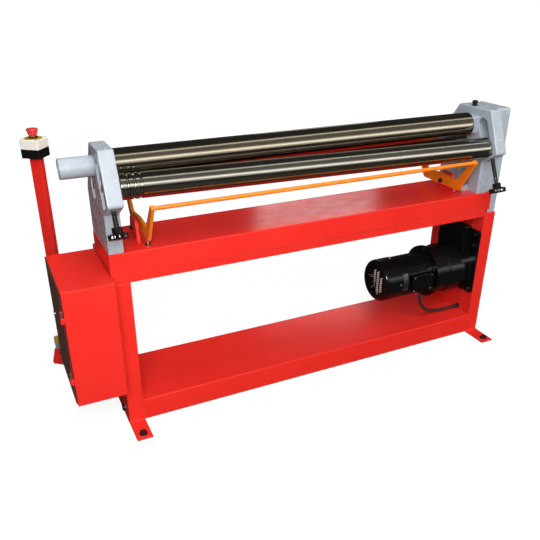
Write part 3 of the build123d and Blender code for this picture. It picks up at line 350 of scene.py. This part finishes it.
def paint(name, colour, second, wear_and_glint, roughness, peel, depth, shine, radius):
    finish, nodes, shader = new_finish(name, colour, roughness)
    edges = add(nodes, "ShaderNodeGroup", {"Radius": radius}, node_tree=wear_and_glint_group)
    skin = add(
        nodes,
        "ShaderNodeGroup",
        {"Size": peel, "Depth": depth, "Normal": edges.outputs["Normal"]},
        node_tree=grain,
    )
    tone = blended(nodes, spread(nodes, skin.outputs["Tone"], 0.0, 1.0), (*colour, 1), (*second, 1))
    # Painted edge highlight and wear: a lighter colour mixed in along the edges.
    tone = blended(nodes, edges.outputs["Edge"], tone, (*wear_and_glint, 1))
    nodes.links.new(tone, shader.inputs["Base Color"])
    nodes.links.new(
        spread(nodes, skin.outputs["Gloss"], roughness - 0.04, roughness + 0.05),
        shader.inputs["Roughness"],
    )
    nodes.links.new(skin.outputs["Normal"], shader.inputs["Normal"])
    shader.inputs["Specular IOR Level"].default_value = shine
    return finish


def dress(finish, *names):
    for name in names:
        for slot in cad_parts[name].material_slots:
            slot.material = finish


def turned(rings, segments, hollow=False):
    points = []
    for radius, height in rings:
        for step in range(segments):
            angle = 2 * math.pi * step / segments
            out = radius(angle) if callable(radius) else radius
            up = height(angle) if callable(height) else height
            points.append((out * math.cos(angle), out * math.sin(angle), up))
    last = len(points) - segments
    caps = [tuple(reversed(range(segments))), tuple(range(last, len(points)))]
    faces = [] if hollow else caps
    for ring in range(len(rings) if hollow else len(rings) - 1):
        for step in range(segments):
            a, b = ring * segments + step, ring * segments + (step + 1) % segments
            faces.append((a, b, (b + segments) % len(points), (a + segments) % len(points)))
    return points, faces


def new_piece(name, points, faces, finish, crease=35):
    mesh = bpy.data.meshes.new(name)
    mesh.from_pydata([Vector(point) / 1000 for point in points], [], faces)
    mesh.polygons.foreach_set("use_smooth", [True] * len(mesh.polygons))
    mesh.set_sharp_from_angle(angle=math.radians(crease))
    mesh.materials.append(finish)
    piece = bpy.data.objects.new(name, mesh)
    bpy.context.scene.collection.objects.link(piece)
    return piece


def hexagon(across):
    def reach(angle):
        return across / 2 / math.cos((angle + math.pi / 6) % (math.pi / 3) - math.pi / 6)
    return reach


def hex_head(across, height, washer, washer_height):
    corner = hexagon(across)
    crown = 0.46 * across

    def chamfer(angle):
        return washer_height + height - (corner(angle) - crown) * 0.55

    rings = [
        (washer, 0),
        (washer, washer_height - 0.4),
        (washer - 0.4, washer_height),
        (corner, washer_height),
    ]
    rings += [
        (corner, chamfer),
        (crown, washer_height + height),
        (0.30 * across, washer_height + height - 0.25),
    ]
    return turned(rings, 48)


# Set of fasteners: one head stood on every point of a mesh, each at the point's own facing and
# turned by chance about its axis as a spanner leaves it.
fixing = bpy.data.node_groups.new("set_of_fasteners", "GeometryNodeTree")
for label, kind in (
    ("Geometry", "Geometry"), ("Head", "Object"), ("Spin", "Float"), ("Finish", "Material")
):
    fixing.interface.new_socket(label, in_out="INPUT", socket_type=f"NodeSocket{kind}")
fixing.interface.new_socket("Geometry", in_out="OUTPUT", socket_type="NodeSocketGeometry")
given = add(fixing, "NodeGroupInput").outputs
made = add(fixing, "NodeGroupOutput").inputs
head = add(fixing, "GeometryNodeObjectInfo", {"Object": given["Head"]}).outputs["Geometry"]
facing = add(
    fixing, "GeometryNodeInputNamedAttribute", {"Name": "facing"}, data_type="FLOAT_VECTOR"
).outputs["Attribute"]
chance = add(fixing, "FunctionNodeRandomValue", {3: given["Spin"], "Seed": 4}, data_type="FLOAT")
spun = add(fixing, "ShaderNodeCombineXYZ", {"Z": chance.outputs[1]}).outputs[0]
stand = add(fixing, "FunctionNodeEulerToRotation", {0: facing}).outputs[0]
spin = add(fixing, "FunctionNodeEulerToRotation", {0: spun}).outputs[0]
turn = add(
    fixing, "FunctionNodeRotateRotation", {0: stand, 1: spin}, rotation_space="LOCAL"
).outputs[0]
heads = add(
    fixing,
    "GeometryNodeInstanceOnPoints",
    {"Points": given["Geometry"], "Instance": head, "Rotation": turn},
)
real = add(fixing, "GeometryNodeRealizeInstances", {0: heads.outputs[0]}).outputs[0]
fixing.links.new(
    add(
        fixing, "GeometryNodeSetMaterial", {"Geometry": real, "Material": given["Finish"]}
    ).outputs[0],
    made[0],
)


def settled(piece, tree, values):
    step = piece.modifiers.new(tree.name, "NODES")
    step.node_group = tree
    for socket in tree.interface.items_tree:
        if socket.in_out == "INPUT" and socket.name in values:
            step[socket.identifier] = values[socket.name]
    graph = bpy.context.evaluated_depsgraph_get()
    mesh = bpy.data.meshes.new_from_object(piece.evaluated_get(graph))
    piece.modifiers.remove(step)
    piece.data = mesh


def fasten(name, body, shape, finish, places, spin=0.0):
    head = new_piece(f"{name}_head", *shape, finish)
    mesh = bpy.data.meshes.new(name)
    mesh.from_pydata([at(*place) for place, _ in places], [], [])
    facing = mesh.attributes.new("facing", "FLOAT_VECTOR", "POINT")
    for mark, (_, axis) in zip(facing.data, places):
        mark.vector = Vector(axis).to_track_quat("Z", "Y").to_matrix().to_euler()
    piece = bpy.data.objects.new(name, mesh)
    bpy.context.scene.collection.objects.link(piece)
    settled(piece, fixing, {"Head": head, "Spin": spin, "Finish": finish})
    bpy.data.objects.remove(head)
    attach(piece, body)
    return piece


red_paint = paint(
    "red_paint",
    colour=(0.79, 0.027, 0.019),
    second=(0.74, 0.022, 0.016),
    wear_and_glint=(0.92, 0.17, 0.14),
    roughness=0.17,
    peel=0.0045,
    depth=0.00006,
    shine=0.45,
    radius=0.0026,
)
black_oxide = paint(
    "black_steel",
    colour=(0.006, 0.006, 0.006),
    second=(0.010, 0.010, 0.010),
    wear_and_glint=(0.05, 0.048, 0.046),
    roughness=0.16,
    peel=0.0009,
    depth=0.00003,
    shine=0.5,
    radius=0.0006,
)
dress(red_paint, "foot_plates")
up = (0, 0, 1)
foot_top = 7
foot_places = [((x, y, foot_top), up) for x in (-718, 762) for y in (-73, 381)]
foot_bolts = fasten(
    "foot_bolt_heads",
    "frame",
    hex_head(across=21, height=8, washer=14, washer_height=2),
    black_oxide,
    foot_places,
    spin=1.0,
)
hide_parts("foot_bolts")

# Stand: four square tubes on the feet with closed sheet panels between them, two top rails under
# the bed and a folded shelf, all welded together and painted red. The beads show at the feet.
dress(red_paint, "leg_posts", "leg_panels", "top_rails", "shelf")
beading = bpy.data.node_groups.new("weld_bead", "GeometryNodeTree")
for label, kind in (
    ("Geometry", "Geometry"), ("Pitch", "Float"), ("Radius", "Float"), ("Finish", "Material")
):
    beading.interface.new_socket(label, in_out="INPUT", socket_type=f"NodeSocket{kind}")
beading.interface.new_socket("Geometry", in_out="OUTPUT", socket_type="NodeSocketGeometry")
given = add(beading, "NodeGroupInput").outputs
made = add(beading, "NodeGroupOutput").inputs
seam = add(beading, "GeometryNodeMeshToCurve", {"Mesh": given["Geometry"]}).outputs[0]
steps = add(
    beading, "GeometryNodeResampleCurve", {"Curve": seam, "Length": given["Pitch"]}, mode="LENGTH"
).outputs[0]
drop = add(
    beading, "GeometryNodeMeshIcoSphere", {"Radius": given["Radius"], "Subdivisions": 2}
).outputs["Mesh"]
swell = add(
    beading, "FunctionNodeRandomValue", {2: 0.82, 3: 1.15, "Seed": 7}, data_type="FLOAT"
).outputs[1]
drops = add(
    beading, "GeometryNodeInstanceOnPoints", {"Points": steps, "Instance": drop, "Scale": swell}
).outputs[0]
real = add(beading, "GeometryNodeRealizeInstances", {0: drops}).outputs[0]
soft = add(beading, "GeometryNodeSetShadeSmooth", {"Geometry": real}).outputs[0]
beading.links.new(
    add(
        beading, "GeometryNodeSetMaterial", {"Geometry": soft, "Material": given["Finish"]}
    ).outputs[0],
    made[0],
)


def weld(name, body, finish, loops, radius):
    points, edges = [], []
    for loop in loops:
        first = len(points)
        points += [at(*corner) for corner in loop]
        edges += [(step, step + 1) for step in range(first, len(points) - 1)]
    mesh = bpy.data.meshes.new(name)
    mesh.from_pydata(points, edges, [])
    piece = bpy.data.objects.new(name, mesh)
    bpy.context.scene.collection.objects.link(piece)
    settled(
        piece, beading, {"Pitch": 1.3 * radius / 1000, "Radius": radius / 1000, "Finish": finish}
    )
    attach(piece, body)


post_side, foot_bead = 54, 7.4
square = ((0, 0), (1, 0), (1, 1), (0, 1), (0, 0))
foot_seams = []
for x in (-745, 735):
    for y in (3, 251):
        foot_seams.append([(x + post_side * a, y + post_side * b, foot_bead) for a, b in square])
weld("foot_welds", "frame", red_paint, foot_seams, 2.2)
seam_length, shelf_bead = 52, 84.4
shelf_seams = []
for x in (-690.4, 734.4):
    for y in (5, 251):
        shelf_seams.append([(x, y, shelf_bead), (x, y + seam_length, shelf_bead)])
weld("shelf_welds", "frame", red_paint, shelf_seams, 1.8)

# Bed: one folded plate with a closed front apron and turned-in lips, welded at its corners, painted
# red, and bolted down on the rails.
dress(red_paint, "bed")

# Side housings: grey-painted iron castings that hold the rolls, standing on the bed. The chain case
# behind the drive housing is a folded sheet cover held by button screws.
grey_paint = paint(
    "grey_paint",
    colour=(0.37, 0.42, 0.485),
    second=(0.36, 0.41, 0.475),
    wear_and_glint=(0.50, 0.54, 0.59),
    roughness=0.27,
    peel=0.0032,
    depth=0.00005,
    shine=0.5,
    radius=0.0025,
)
dress(grey_paint, "left_housing", "right_housing", "chain_case")


def socket_head(radius, height, key):
    well = hexagon(key)
    rings = [
        (radius, 0),
        (radius, 0.25 * height),
        (0.92 * radius, 0.65 * height),
        (0.72 * radius, 0.93 * height),
    ]
    rings += [(0.60 * radius, height), (well, height), (well, 0.45 * height)]
    return turned(rings, 36)


right = (1, 0, 0)
left = (-1, 0, 0)
case_face = 789
case_places = [((case_face, y, z), right) for y in (30, 217) for z in (585, 740, 890)]
fasten(
    "case_screws",
    "frame",
    socket_head(radius=6.5, height=4, key=5),
    black_oxide,
    case_places,
    spin=1.0,
)
outer_face = -748
grub_places = [((outer_face, y, z), left) for y, z in ((25, 911), (75, 690), (165, 690))]
fasten(
    "housing_grub_screws",
    "frame",
    socket_head(radius=5, height=0.8, key=5),
    black_oxide,
    grub_places,
    spin=1.0,
)

# Lock bolt: a black hexagon bolt with its locknut on top of the drive housing, which holds the
# upper roll's end bearing down.
lock_hex = hexagon(18.2)
lock_rings = [(lock_hex, 0), (lock_hex, 4.6), (8.4, 6), (5.9, 6), (5.9, 9), (lock_hex, 9)]
lock_rings += [(lock_hex, 18.0), (8.4, 20), (5.0, 19.7)]
lock_shape = turned(lock_rings, 48)
lock_bolt = fasten(
    "lock_bolt_head", "frame", lock_shape, black_oxide, [((690, 100, 950), up)]
)
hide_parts("lock_bolt")

# Rolls: ground and polished steel bars, dark with an oil film, with the fine lines that grinding
# leaves round them. The front roll has three wire grooves at its left end. The rear roll's steel
# is painted far darker and rougher: painted shade in the gap between the rolls.
lines, given, made = shader_group(
    "grinding_lines",
    [("Density", "NodeSocketVector", (1500.0, 12.0, 12.0)), ("Depth", "NodeSocketFloat", 0.00002)],
    [("Normal", "NodeSocketVector"), ("Line", "NodeSocketFloat"), ("Oil", "NodeSocketFloat")],
)
place = add(lines, "ShaderNodeTexCoord").outputs["Object"]
along = add(
    lines, "ShaderNodeVectorMath", {0: place, 1: given["Density"]}, operation="MULTIPLY"
).outputs[0]
scratch = add(
    lines, "ShaderNodeTexNoise", {"Vector": along, "Scale": 1.0, "Detail": 3.0, "Roughness": 0.6}
).outputs["Fac"]
oil = add(
    lines, "ShaderNodeTexNoise", {"Vector": place, "Scale": 14.0, "Detail": 4.0, "Distortion": 0.4}
).outputs["Fac"]
marks = add(
    lines, "ShaderNodeBump", {"Distance": given["Depth"], "Height": scratch}
).outputs["Normal"]
lines.links.new(marks, made["Normal"])
lines.links.new(scratch, made["Line"])
lines.links.new(oil, made["Oil"])


def machined(name, colour, second, roughness, density, depth):
    finish, nodes, shader = new_finish(name, colour, roughness, 1.0)
    cut = add(nodes, "ShaderNodeGroup", {"Density": density, "Depth": depth}, node_tree=lines)
    tone = blended(nodes, spread(nodes, cut.outputs["Oil"], 0.0, 1.0), (*colour, 1), (*second, 1))
    nodes.links.new(tone, shader.inputs["Base Color"])
    nodes.links.new(
        spread(nodes, cut.outputs["Line"], roughness - 0.05, roughness + 0.06),
        shader.inputs["Roughness"],
    )
    nodes.links.new(cut.outputs["Normal"], shader.inputs["Normal"])
    return finish


ground_lines = (1500, 12, 12)
roll_steel = machined(
    "roll_steel",
    colour=(0.33, 0.30, 0.245),
    second=(0.30, 0.27, 0.215),
    roughness=0.14,
    density=ground_lines,
    depth=0.000006,
)
dress(roll_steel, "upper_roll")
front_steel = machined(
    "front_roll_steel",
    colour=(0.33, 0.32, 0.295),
    second=(0.30, 0.29, 0.265),
    roughness=0.14,
    density=ground_lines,
    depth=0.000006,
)
dress(front_steel, "front_roll")
# Painted shade: the rear roll's steel is far darker than the other rolls', so the gap between the
# rolls stays dark.
rear_roll_shade_steel = machined(
    "rear_roll_painted_shade_steel",
    colour=(0.075, 0.07, 0.06),
    second=(0.06, 0.055, 0.047),
    roughness=0.30,
    density=ground_lines,
    depth=0.000006,
)
dress(rear_roll_shade_steel, "rear_roll")
bronze = machined(
    "bronze",
    colour=(0.50, 0.32, 0.14),
    second=(0.42, 0.26, 0.11),
    roughness=0.3,
    density=(900, 40, 40),
    depth=0.00001,
)
dress(bronze, "upper_roll_bushes")

# Sleeve: a turned and grey-painted tube over the upper roll's left end, drawn off to free a rolled
# cylinder.
dress(grey_paint, "upper_sleeve")

# Bearing blocks: milled steel blocks that slide in the housings' inclined slots and carry the ends
# of the front and rear rolls.
bright_steel = machined(
    "bright_steel",
    colour=(0.56, 0.56, 0.57),
    second=(0.48, 0.48, 0.49),
    roughness=0.27,
    density=(60, 60, 1200),
    depth=0.00002,
)
dress(bright_steel, "front_left_block", "front_right_block", "rear_left_block", "rear_right_block")
dress(
    bright_steel,
    "rear_left_screw",
    "rear_right_screw",
    "roll_sprocket",
    "output_sprocket",
    "drive_chain",
)

# Setting screws: black threaded rods that lift the front roll's ends, each with a moulded star knob
# pressed on its lower end.
threading = bpy.data.node_groups.new("screw_thread", "GeometryNodeTree")
for label, kind in (
    ("Radius", "Float"),
    ("Length", "Float"),
    ("Pitch", "Float"),
    ("Depth", "Float"),
    ("Rings", "Int"),
    ("Finish", "Material"),
):
    threading.interface.new_socket(label, in_out="INPUT", socket_type=f"NodeSocket{kind}")
threading.interface.new_socket("Geometry", in_out="OUTPUT", socket_type="NodeSocketGeometry")
given = add(threading, "NodeGroupInput").outputs
made = add(threading, "NodeGroupOutput").inputs
blank = add(
    threading,
    "GeometryNodeMeshCylinder",
    {
        "Vertices": 28,
        "Side Segments": given["Rings"],
        "Radius": given["Radius"],
        "Depth": given["Length"],
    },
).outputs["Mesh"]
spot = add(
    threading, "ShaderNodeSeparateXYZ", {0: add(threading, "GeometryNodeInputPosition").outputs[0]}
).outputs
angle = add(
    threading, "ShaderNodeMath", {0: spot["Y"], 1: spot["X"]}, operation="ARCTAN2"
).outputs[0]
share = add(threading, "ShaderNodeMath", {0: angle, 1: 2 * math.pi}, operation="DIVIDE").outputs[0]
climb = add(
    threading, "ShaderNodeMath", {0: spot["Z"], 1: given["Pitch"]}, operation="DIVIDE"
).outputs[0]
phase = add(threading, "ShaderNodeMath", {0: climb, 1: share}, operation="SUBTRACT").outputs[0]
tooth = add(threading, "ShaderNodeMath", {0: phase, 1: 0.5}, operation="PINGPONG").outputs[0]
cut = add(
    threading, "ShaderNodeMath", {0: tooth, 1: given["Depth"]}, operation="MULTIPLY"
).outputs[0]
ratio = add(
    threading, "ShaderNodeMath", {0: cut, 1: given["Radius"]}, operation="DIVIDE"
).outputs[0]
inward = add(threading, "ShaderNodeMath", {0: ratio, 1: -2.0}, operation="MULTIPLY").outputs[0]
radial = add(threading, "ShaderNodeCombineXYZ", {"X": spot["X"], "Y": spot["Y"]}).outputs[0]
push = add(
    threading, "ShaderNodeVectorMath", {0: radial, "Scale": inward}, operation="SCALE"
).outputs[0]
ridged = add(threading, "GeometryNodeSetPosition", {"Geometry": blank, "Offset": push}).outputs[0]
real = add(threading, "GeometryNodeRealizeInstances", {0: ridged}).outputs[0]
threading.links.new(
    add(
        threading, "GeometryNodeSetMaterial", {"Geometry": real, "Material": given["Finish"]}
    ).outputs[0],
    made[0],
)


def plastic(name, colour, second, roughness, size, depth, radius):
    return paint(
        name,
        colour=colour,
        second=second,
        wear_and_glint=tuple(1.25 * tint + 0.003 for tint in colour),
        roughness=roughness,
        peel=size,
        depth=depth,
        shine=0.3,
        radius=radius,
    )


black_plastic = plastic(
    "black_plastic",
    colour=(0.005, 0.005, 0.0055),
    second=(0.007, 0.007, 0.0075),
    roughness=0.25,
    size=0.0008,
    depth=0.00003,
    radius=0.0008,
)
knob_black = paint(
    "knob_black",
    colour=(0.004, 0.004, 0.0043),
    second=(0.006, 0.006, 0.0064),
    wear_and_glint=(0.02, 0.02, 0.02),
    roughness=0.12,
    peel=0.0012,
    depth=0.00002,
    shine=0.6,
    radius=0.0008,
)
knob_waist, lobe_rise, lobes = 24, 7.5, 6
lean = math.radians(25)
down = Vector((0, -math.sin(lean), -math.cos(lean)))


def lobed(share):
    def reach(angle):
        return share * (knob_waist + lobe_rise * (0.5 + 0.5 * math.cos(lobes * angle)) ** 0.85)
    return reach


knob_rings = [
    (13.6, 0),
    (15.1, 0.6),
    (15.5, 2),
    (15.5, 16.2),
    (16.4, 17.6),
    (lobed(0.80), 18.3),
    (lobed(0.93), 19.2),
]
knob_rings += [
    (lobed(0.985), 21), (lobed(1), 23.5), (lobed(1), 31.5), (lobed(0.985), 34), (lobed(0.93), 35.9)
]
knob_rings += [(lobed(0.80), 36.9), (lobed(0.55), 37), (9.5, 36.6), (8.3, 35.7), (2, 35.4)]
block_foot = 20.3
knob_socket = 11
screw_ends = (("left", (-724.5, 6.199, 838.017), 114), ("right", (699.5, -5, 814), 135))
for side, journal, reach in screw_ends:
    body = f"front_{side}_screw_set"
    top = Vector(journal) + block_foot * down
    length = reach + knob_socket - block_foot
    rod = bpy.data.objects.new(f"front_{side}_thread", bpy.data.meshes.new(f"front_{side}_thread"))
    bpy.context.scene.collection.objects.link(rod)
    sizes = {
        "Radius": 0.0075,
        "Length": length / 1000,
        "Pitch": 0.004,
        "Depth": 0.0006,
        "Rings": int(length * 1.5),
    }
    settled(rod, threading, {**sizes, "Finish": black_oxide})
    middle = top + 0.5 * length * down
    rod.data.transform(
        Matrix.Translation(at(*middle)) @ down.to_track_quat("Z", "X").to_matrix().to_4x4()
    )
    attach(rod, body)
    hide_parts(f"front_{side}_screw")
    knob = new_piece(f"front_{side}_star_knob", *turned(knob_rings, 96), knob_black, 50)
    seat = at(*(Vector(journal) + reach * down))
    knob.data.transform(
        Matrix.Translation(seat) @ down.to_track_quat("Z", "X").to_matrix().to_4x4()
    )
    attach(knob, body)
    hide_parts(f"front_{side}_knob")

# Trip frame: two flame-cut plates and two round bars, welded and painted orange. It rocks on black
# pivot bolts in two red ears on the bed and presses a steel switch pin.
orange_paint = paint(
    "orange_paint",
    colour=(0.88, 0.225, 0.010),
    second=(0.83, 0.195, 0.009),
    wear_and_glint=(0.92, 0.32, 0.05),
    roughness=0.30,
    peel=0.004,
    depth=0.00006,
    shine=0.45,
    radius=0.0015,
)
dress(orange_paint, "trip_left_plate", "trip_right_plate", "trip_bars")
dress(red_paint, "trip_ears")
dress(black_plastic, "switch_base")
dress(bright_steel, "switch_plunger")
pivot_places = [((-644, 117, 669), left), ((586.7, 117, 669), left)]
pivot_bolts = fasten(
    "pivot_bolt_heads",
    "frame",
    hex_head(across=13, height=6.4, washer=9.4, washer_height=1.6),
    black_oxide,
    pivot_places,
    spin=1.0,
)
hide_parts("trip_pivot_bolts")

# Motor: a finned cast body with a drawn fan cover and a terminal box, bolted by its round flange to
# a gearbox and its mounting plate, all in black paint. A cream half disc behind the lit half of the
# slots is painted light: it stands in for the light seen through them.
motor_black = paint(
    "motor_black",
    colour=(0.003, 0.003, 0.0033),
    second=(0.0045, 0.0045, 0.005),
    wear_and_glint=(0.025, 0.025, 0.025),
    roughness=0.14,
    peel=0.0028,
    depth=0.00005,
    shine=0.22,
    radius=0.0012,
)
dress(motor_black, "motor_body", "fan_cover", "terminal_box", "gearbox_body", "gearbox_plate")
cream_plastic = plastic(
    "cream_plastic",
    colour=(0.86, 0.85, 0.79),
    second=(0.83, 0.82, 0.76),
    roughness=0.36,
    size=0.0010,
    depth=0.00004,
    radius=0.0015,
)
dress(cream_plastic, "motor_fan")
# Painted light: a flat cream half disc behind the fan cover's slots, only on the half that faces
# the light, makes those slots look light.
slot_light_radius, slot_light_hub, lit_half_turn = 61.5, 8, math.radians(20)


def lit_side(angle):
    return slot_light_radius if math.cos(angle - lit_half_turn) > 0 else slot_light_hub


motor_y, motor_z = 130, 277
slot_light_shape = turned([(lit_side, 0), (lit_side, 1.2)], 96)
fasten(
    "fan_guard", "frame", slot_light_shape, cream_plastic, [((321.6, motor_y, motor_z), left)]
)
dress(black_plastic, "cable_glands")
dress(bright_steel, "motor_rotor", "output_shaft")
front = (0, -1, 0)


def crossed(arm, half):
    def reach(angle):
        off = (angle + math.pi / 4) % (math.pi / 2) - math.pi / 4
        return min(arm / math.cos(off), half / max(abs(math.sin(off)), 1e-6))
    return reach


def pan_head(radius, height):
    cross = crossed(0.62 * radius, 0.17 * radius)
    rings = [
        (radius, 0),
        (radius, 0.35 * height),
        (0.93 * radius, 0.7 * height),
        (0.80 * radius, 0.95 * height),
    ]
    rings += [(0.68 * radius, height), (cross, height), (cross, 0.4 * height)]
    return turned(rings, 48)


cover_radius = 86
cover_places = []
for quarter in range(4):
    angle = math.radians(90 * quarter - 3)
    out = Vector((0, math.cos(angle), math.sin(angle)))
    cover_places.append(
        ((389, motor_y + cover_radius * out.y, motor_z + cover_radius * out.z), tuple(out))
    )
fasten(
    "fan_cover_screws",
    "frame",
    pan_head(radius=4.4, height=2.8),
    bright_steel,
    cover_places,
    spin=1.5,
)
bolt_circle = 96
flange_places = []
for sixth in range(6):
    angle = math.radians(30 + 60 * sixth)
    y, z = motor_y + bolt_circle * math.cos(angle), motor_z + bolt_circle * math.sin(angle)
    flange_places.append(((557, y, z), left))
fasten(
    "flange_bolts",
    "frame",
    hex_head(across=13, height=5.5, washer=7.6, washer_height=1.2),
    black_oxide,
    flange_places,
    spin=1.0,
)
plate_spots = ((725, 22, 208), (725, 26, 402), (725, 26, 450), (725, 214, 450), (712, 205, 214))
plate_places = [(spot, left) for spot in plate_spots]
fasten(
    "plate_bolts",
    "frame",
    hex_head(across=13, height=6, washer=8.4, washer_height=1.6),
    black_oxide,
    plate_places,
    spin=1.0,
)


def slab(name, body, low, high, rounding, finish):
    shape = bmesh.new()
    bmesh.ops.create_cube(shape, size=1)
    size = [(far - near) / 1000 for near, far in zip(low, high)]
    middle = at(*[(near + far) / 2 for near, far in zip(low, high)])
    bmesh.ops.transform(
        shape, matrix=Matrix.Translation(middle) @ Matrix.Diagonal((*size, 1)), verts=shape.verts
    )
    bmesh.ops.bevel(
        shape,
        geom=shape.edges,
        offset=rounding / 1000,
        segments=3,
        profile=0.5,
        affect="EDGES",
        clamp_overlap=True,
    )
    mesh = bpy.data.meshes.new(name)
    shape.to_mesh(mesh)
    shape.free()
    mesh.polygons.foreach_set("use_smooth", [True] * len(mesh.polygons))
    mesh.set_sharp_from_angle(angle=math.radians(50))
    mesh.materials.append(finish)
    piece = bpy.data.objects.new(name, mesh)
    bpy.context.scene.collection.objects.link(piece)
    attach(piece, body)


lid_face = 29.5
slab(
    "terminal_lid",
    "frame",
    low=(438, lid_face, 240),
    high=(536, 33.4, 314),
    rounding=1.6,
    finish=motor_black,
)
lid_places = [((x, lid_face, z), front) for x in (446, 528) for z in (248, 306)]
fasten(
    "terminal_lid_screws",
    "frame",
    pan_head(radius=3.6, height=2.2),
    bright_steel,
    lid_places,
    spin=1.5,
)
name_inside, name_face = 84.2, 86.4
name_steps = 16
name_points = []
for step in range(name_steps + 1):
    angle = math.radians(-17 + 3 * step)
    for radius in (name_inside, name_face):
        for x in (402, 426):
            name_points.append(
                (x, motor_y - radius * math.cos(angle), motor_z + radius * math.sin(angle))
            )
end = 4 * name_steps
name_faces = [(0, 1, 3, 2), (end, end + 2, end + 3, end + 1)]
for step in range(0, end, 4):
    for a, b in ((0, 2), (2, 3), (3, 1), (1, 0)):
        name_faces.append((step + a, step + b, step + b + 4, step + a + 4))
name_metal = machined(
    "name_metal",
    colour=(0.13, 0.13, 0.135),
    second=(0.09, 0.09, 0.095),
    roughness=0.42,
    density=(60, 60, 1200),
    depth=0.00002,
)
name_plate = new_piece(
    "blank_name_plate", [1000 * at(*point) for point in name_points], name_faces, name_metal
)
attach(name_plate, "frame")
rivet_places = []
for x in (405, 423):
    for degrees in (-14, 28):
        out = Vector((0, -math.cos(math.radians(degrees)), math.sin(math.radians(degrees))))
        rivet_places.append(
            ((x, motor_y + name_face * out.y, motor_z + name_face * out.z), tuple(out))
        )
rivet = turned([(1.8, 0), (1.7, 0.5), (1.2, 1.0), (0.5, 1.2)], 20)
fasten("name_plate_rivets", "frame", rivet, bright_steel, rivet_places)

# Control cabinet: a folded red box on the left leg with a dark glossy door on two lift-off hinges.
# The door closes with a quarter-turn lock, and the control gear stands on a plate inside.
dark_paint = paint(
    "dark_paint",
    colour=(0.19, 0.048, 0.038),
    second=(0.15, 0.038, 0.030),
    wear_and_glint=(0.22, 0.09, 0.08),
    roughness=0.18,
    peel=0.005,
    depth=0.00005,
    shine=0.03,
    radius=0.0012,
)
dress(red_paint, "cabinet_shell", "door_hinges")
dress(dark_paint, "cabinet_door")
control_plastic = plastic(
    "control_plastic",
    colour=(0.23, 0.235, 0.24),
    second=(0.20, 0.205, 0.21),
    roughness=0.5,
    size=0.0009,
    depth=0.00005,
    radius=0.001,
)
dress(control_plastic, "control_gear")
keyway = crossed(4.2, 1.3)
catch_rings = [
    (9.5, 0), (9.5, 1.2), (8.6, 2.0), (6.6, 2.2), (6.4, 1.6), (keyway, 1.6), (keyway, -0.2)
]
fasten(
    "door_lock",
    "door",
    turned(catch_rings, 48),
    bright_steel,
    [((-911.4, 224, 365), left)],
)
contactor_front = -826
contactor_rows = (37, 95.5, 154)
terminal_places = []
for y in contactor_rows:
    for z in (336, 395):
        terminal_places += [((contactor_front, y + step, z), left) for step in (-15, -5, 5, 15)]
fasten(
    "contactor_screws",
    "frame",
    pan_head(radius=3.2, height=1.6),
    bright_steel,
    terminal_places,
    spin=1.5,
)
for number, y in enumerate(contactor_rows):
    slab(
        f"contactor_face_{number}",
        "frame",
        low=(-830, y - 12, 350),
        high=(-825.5, y + 12, 382),
        rounding=1.2,
        finish=black_plastic,
    )

# Pedestal: a red base plate with a hood, a black studded treadle on a pin, and a red tube that
# holds the stop box at hand height. The box has a cream lid, a plain yellow ring and a red button.
dress(red_paint, "pedal_base", "pedestal_post")
dress(black_plastic, "pedal_treadle", "estop_base")
yellow_plastic = plastic(
    "yellow_plastic",
    colour=(0.48, 0.30, 0.035),
    second=(0.43, 0.26, 0.03),
    roughness=0.38,
    size=0.0010,
    depth=0.00004,
    radius=0.0008,
)
red_plastic = plastic(
    "red_plastic",
    colour=(0.74, 0.055, 0.065),
    second=(0.70, 0.048, 0.056),
    roughness=0.26,
    size=0.0010,
    depth=0.00003,
    radius=0.001,
)
dress(cream_plastic, "estop_lid")
dress(yellow_plastic, "estop_ring", "pedal_cap")
dress(red_plastic, "estop_button")
pedestal_middle = Vector((-858, 560, 0))
pedestal_turn = Matrix.Rotation(math.radians(-39), 3, "Z")
box_top = 879


def on_pedestal(x, y, z):
    return tuple(pedestal_middle + pedestal_turn @ Vector((x, y, z)))


box_places = [(on_pedestal(x, y, box_top), up) for x in (-28, 28) for y in (-28, 28)]
fasten(
    "stop_box_screws",
    "frame",
    pan_head(radius=3.4, height=1.2),
    bright_steel,
    box_places,
    spin=1.5,
)
collar = turned(
    [(15.3, 1.4), (15.9, 1.9), (15.9, 6.8), (15.2, 7.5), (14.6, 7.5), (14.6, 1.4)], 64, hollow=True
)
fasten(
    "stop_collar",
    "frame",
    collar,
    black_plastic,
    [(on_pedestal(0, 0, box_top), up)],
)
nut_hex = hexagon(19)
nut = [
    (nut_hex, 0.2),
    (nut_hex, 9.2),
    (9.0, 10),
    (8.9, 11),
    (9.8, 11.4),
    (9.8, 22),
    (9.2, 23.4),
    (8.1, 23.4),
    (8.1, 0.2),
]
fasten(
    "pedal_gland_nut",
    "frame",
    turned(nut, 48, hollow=True),
    control_plastic,
    [(on_pedestal(-3, -58, 62), up)],
)
stud = turned([(3.2, 0), (3.2, 1.0), (2.4, 1.6), (0.8, 1.7)], 16)
stud_pitch = 10
slope = math.atan2(14, 120)
stud_up = pedestal_turn @ Vector((-math.sin(slope), 0, math.cos(slope)))
stud_places = []
for row in range(11):
    x = 34 + stud_pitch * row
    height = 32 + (x - 26) * math.tan(slope)
    for step in range(-6, 7):
        stud_places.append((on_pedestal(x, stud_pitch * step, height), tuple(stud_up)))
fasten("treadle_studs", "treadle", stud, black_plastic, stud_places)
